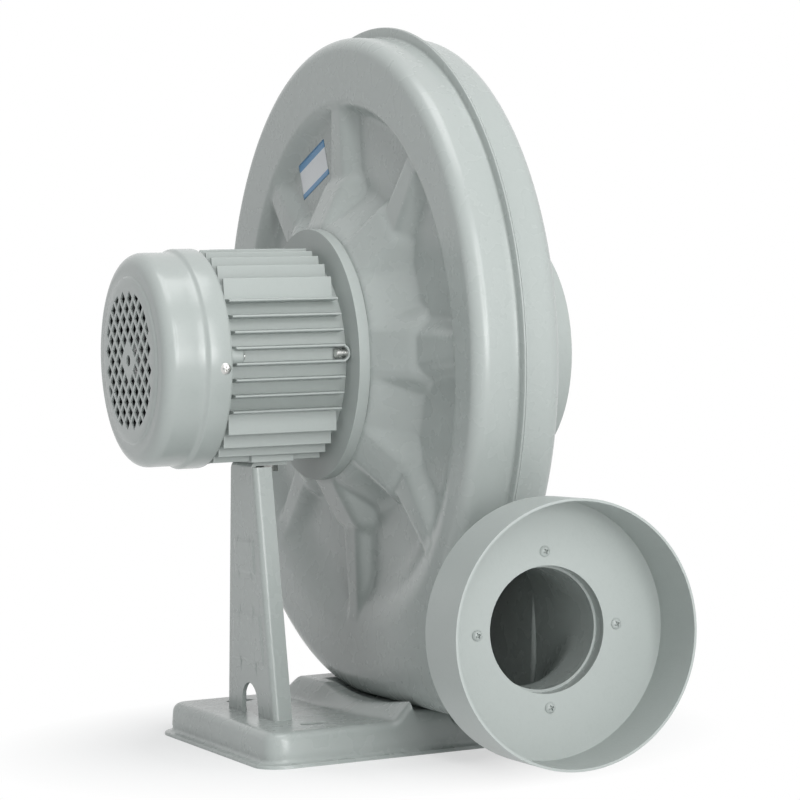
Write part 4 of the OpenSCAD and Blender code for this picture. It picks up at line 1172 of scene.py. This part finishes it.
def build_outlet_screws():
    build = Build()
    for degrees in (0, 90, 180, 270):
        spot = polar(np.array([OUTLET_Y, OUTLET_Z]), OUTLET_SCREW_REACH, degrees)
        place = np.array([PLATE_X + COLLAR_SHEET, spot[0], spot[1]])
        screw_head(build, place, (1, 0, 0), OUTLET_CROSS, OUTLET_SCREW_R, OUTLET_SCREW_H)
    build.finish("outlet_screw_heads", "outlet_screws", "collar_paint")


# Generic label on the recess floor: plain blue and white bands, with no print

LABEL_CORNER = np.array([-76.5, 104.5])
LABEL_RIGHT = np.array([0.954, 0.300])
LABEL_UP = np.array([-0.300, 0.954])
LABEL_COLUMNS = np.linspace(0.0, 46.0, 32)
LABEL_ROWS = (0.0, 1.2, 2.4, 3.5, 5.5, 7.5, 9.5, 11.5, 13.5, 15.5, 17.5, 19.0, 20.8, 22.6, 24.5)
LABEL_WHITE_FROM = 3.4
LABEL_WHITE_TO = 18.9
LABEL_FILM = 0.2
LABEL_RISE = 0.25


def build_label():
    build = Build()
    rows = []
    for up in LABEL_ROWS:
        flats = [LABEL_CORNER + LABEL_RIGHT * across + LABEL_UP * up for across in LABEL_COLUMNS]
        heights = [float(front_height(p[0], p[1])) for p in flats]
        rows.append(build.row([(p[0], SEAM_Y - h - LABEL_RISE, AXIS_H + p[1])
                               for p, h in zip(flats, heights)]))
    build.skin(rows, closed=False)
    obj = mesh_object("label_film", build.points, build.faces)
    dress(obj, paint("label_blue", (0.09, 0.28, 0.52), 0.3))
    obj.data.materials.append(paint("label_white", (0.78, 0.80, 0.82), 0.3))
    for index, polygon in enumerate(obj.data.polygons):
        up = LABEL_ROWS[index // (len(LABEL_COLUMNS) - 1)]
        polygon.material_index = int(LABEL_WHITE_FROM < up < LABEL_WHITE_TO)
    film = obj.modifiers.new("sheet", "SOLIDIFY")
    film.thickness = LABEL_FILM * MM
    film.offset = -1.0
    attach(obj, "frame")


build_cover()
build_cover_screws()
build_motor()
build_shield_screws()
build_stand()
build_tray()
build_throat()
build_outlet_screws()
build_label()


# Camera, at the photograph's place

CAMERA_PLACE = Vector((1.4568, -0.6222, 0.2370))
CAMERA_AZIMUTH = math.radians(65.45)
CAMERA_ELEVATION = math.radians(0.799)
CAMERA_ROLL = math.radians(-2.064)
FOCAL_SHARE = 2467.3 / 800
SENSOR = 36.0


def build_camera():
    camera = bpy.data.objects.new("camera", bpy.data.cameras.new("camera"))
    link(camera)
    camera.data.sensor_width = SENSOR
    camera.data.lens = SENSOR * FOCAL_SHARE
    level = math.cos(CAMERA_ELEVATION)
    back = Vector((math.sin(CAMERA_AZIMUTH) * level, -math.cos(CAMERA_AZIMUTH) * level,
                   math.sin(CAMERA_ELEVATION)))
    right = Vector((math.cos(CAMERA_AZIMUTH), math.sin(CAMERA_AZIMUTH), 0))
    up = back.cross(right)
    across = right * math.cos(CAMERA_ROLL) + up * math.sin(CAMERA_ROLL)
    upward = up * math.cos(CAMERA_ROLL) - right * math.sin(CAMERA_ROLL)
    turn = Matrix((across, upward, back)).transposed()
    camera.matrix_world = Matrix.Translation(CAMERA_PLACE) @ turn.to_4x4()
    camera.data.clip_end = 50.0
    bpy.context.scene.camera = camera


# Studio: soft lamps, a pale world and a floor that fades to white

LOOK_AT = Vector((0.03, 0.0, 0.24))
WORLD_LIGHT = 0.34
FLOOR_HALF = 4000.0
# White's share in the floor grows from its least to all between two distances from the middle, in metres
FADE_FROM = 0.13
FADE_TO = 0.24
FADE_LEAST = 0.55


def softbox(name, place, size, power):
    """Rectangular lamp, in metres and watts, that faces the blower."""
    lamp = bpy.data.lights.new(name, "AREA")
    lamp.shape = "RECTANGLE"
    lamp.size, lamp.size_y = size
    lamp.energy = power
    obj = link(bpy.data.objects.new(name, lamp))
    obj.location = place
    obj.rotation_mode = "QUATERNION"
    obj.rotation_quaternion = (LOOK_AT - Vector(place)).to_track_quat("-Z", "Y")


def seen_directly(tree):
    """1 for rays from the camera and for reflections and refractions, 0 for the light itself."""
    path = add(tree, "ShaderNodeLightPath")
    total = path.outputs["Is Camera Ray"]
    for other in ("Is Glossy Ray", "Is Transmission Ray"):
        larger = add(tree, "ShaderNodeMath", operation="MAXIMUM")
        tree.links.new(total, larger.inputs[0])
        tree.links.new(path.outputs[other], larger.inputs[1])
        total = larger.outputs["Value"]
    return total


def build_world():
    world = bpy.data.worlds.new("studio")
    world.use_nodes = True
    bpy.context.scene.world = world
    tree = world.node_tree
    light = tree.nodes["Background"]
    light.inputs["Color"].default_value = (0.96, 0.98, 1.0, 1.0)
    light.inputs["Strength"].default_value = WORLD_LIGHT
    white = add(tree, "ShaderNodeBackground")
    white.inputs["Color"].default_value = (1.0, 1.0, 1.0, 1.0)
    white.inputs["Strength"].default_value = 1.0
    mix = add(tree, "ShaderNodeMixShader")
    tree.links.new(seen_directly(tree), mix.inputs["Fac"])
    tree.links.new(light.outputs["Background"], mix.inputs[1])
    tree.links.new(white.outputs["Background"], mix.inputs[2])
    tree.links.new(mix.outputs["Shader"], tree.nodes["World Output"].inputs["Surface"])


def build_floor():
    half = FLOOR_HALF
    floor = mesh_object("floor", [(-half, -half, 0), (half, -half, 0), (half, half, 0), (-half, half, 0)],
                        [(0, 1, 2, 3)])
    material, tree, shader = new_material("floor")
    shader.inputs["Base Color"].default_value = (0.86, 0.87, 0.87, 1.0)
    shader.inputs["Roughness"].default_value = 0.9
    white = add(tree, "ShaderNodeEmission")
    white.inputs["Strength"].default_value = 1.0
    place = add(tree, "ShaderNodeTexCoord")
    length = add(tree, "ShaderNodeVectorMath", operation="LENGTH")
    tree.links.new(place.outputs["Object"], length.inputs[0])
    far = spread(tree, length.outputs["Value"], FADE_LEAST, 1.0, FADE_FROM, FADE_TO)
    both = add(tree, "ShaderNodeMath", operation="MULTIPLY")
    tree.links.new(far, both.inputs[0])
    tree.links.new(seen_directly(tree), both.inputs[1])
    mix = add(tree, "ShaderNodeMixShader")
    tree.links.new(both.outputs["Value"], mix.inputs["Fac"])
    tree.links.new(shader.outputs["BSDF"], mix.inputs[1])
    tree.links.new(white.outputs["Emission"], mix.inputs[2])
    tree.links.new(mix.outputs["Shader"], tree.nodes["Material Output"].inputs["Surface"])
    dress(floor, material)


build_camera()
build_world()
build_floor()
softbox("key_front", (1.95, -0.45, 1.0), (0.35, 1.3), 9.5)
softbox("key_rear", (1.95, 0.25, 1.0), (0.35, 1.3), 8.5)
softbox("low", (2.0, 0.0, 0.3), (0.9, 0.5), 10.0)
softbox("top", (0.35, -0.1, 2.0), (1.2, 1.2), 16.0)
softbox("side", (0.3, -2.0, 0.7), (1.2, 1.2), 0.3)

bpy.context.scene.view_settings.view_transform = "Standard"
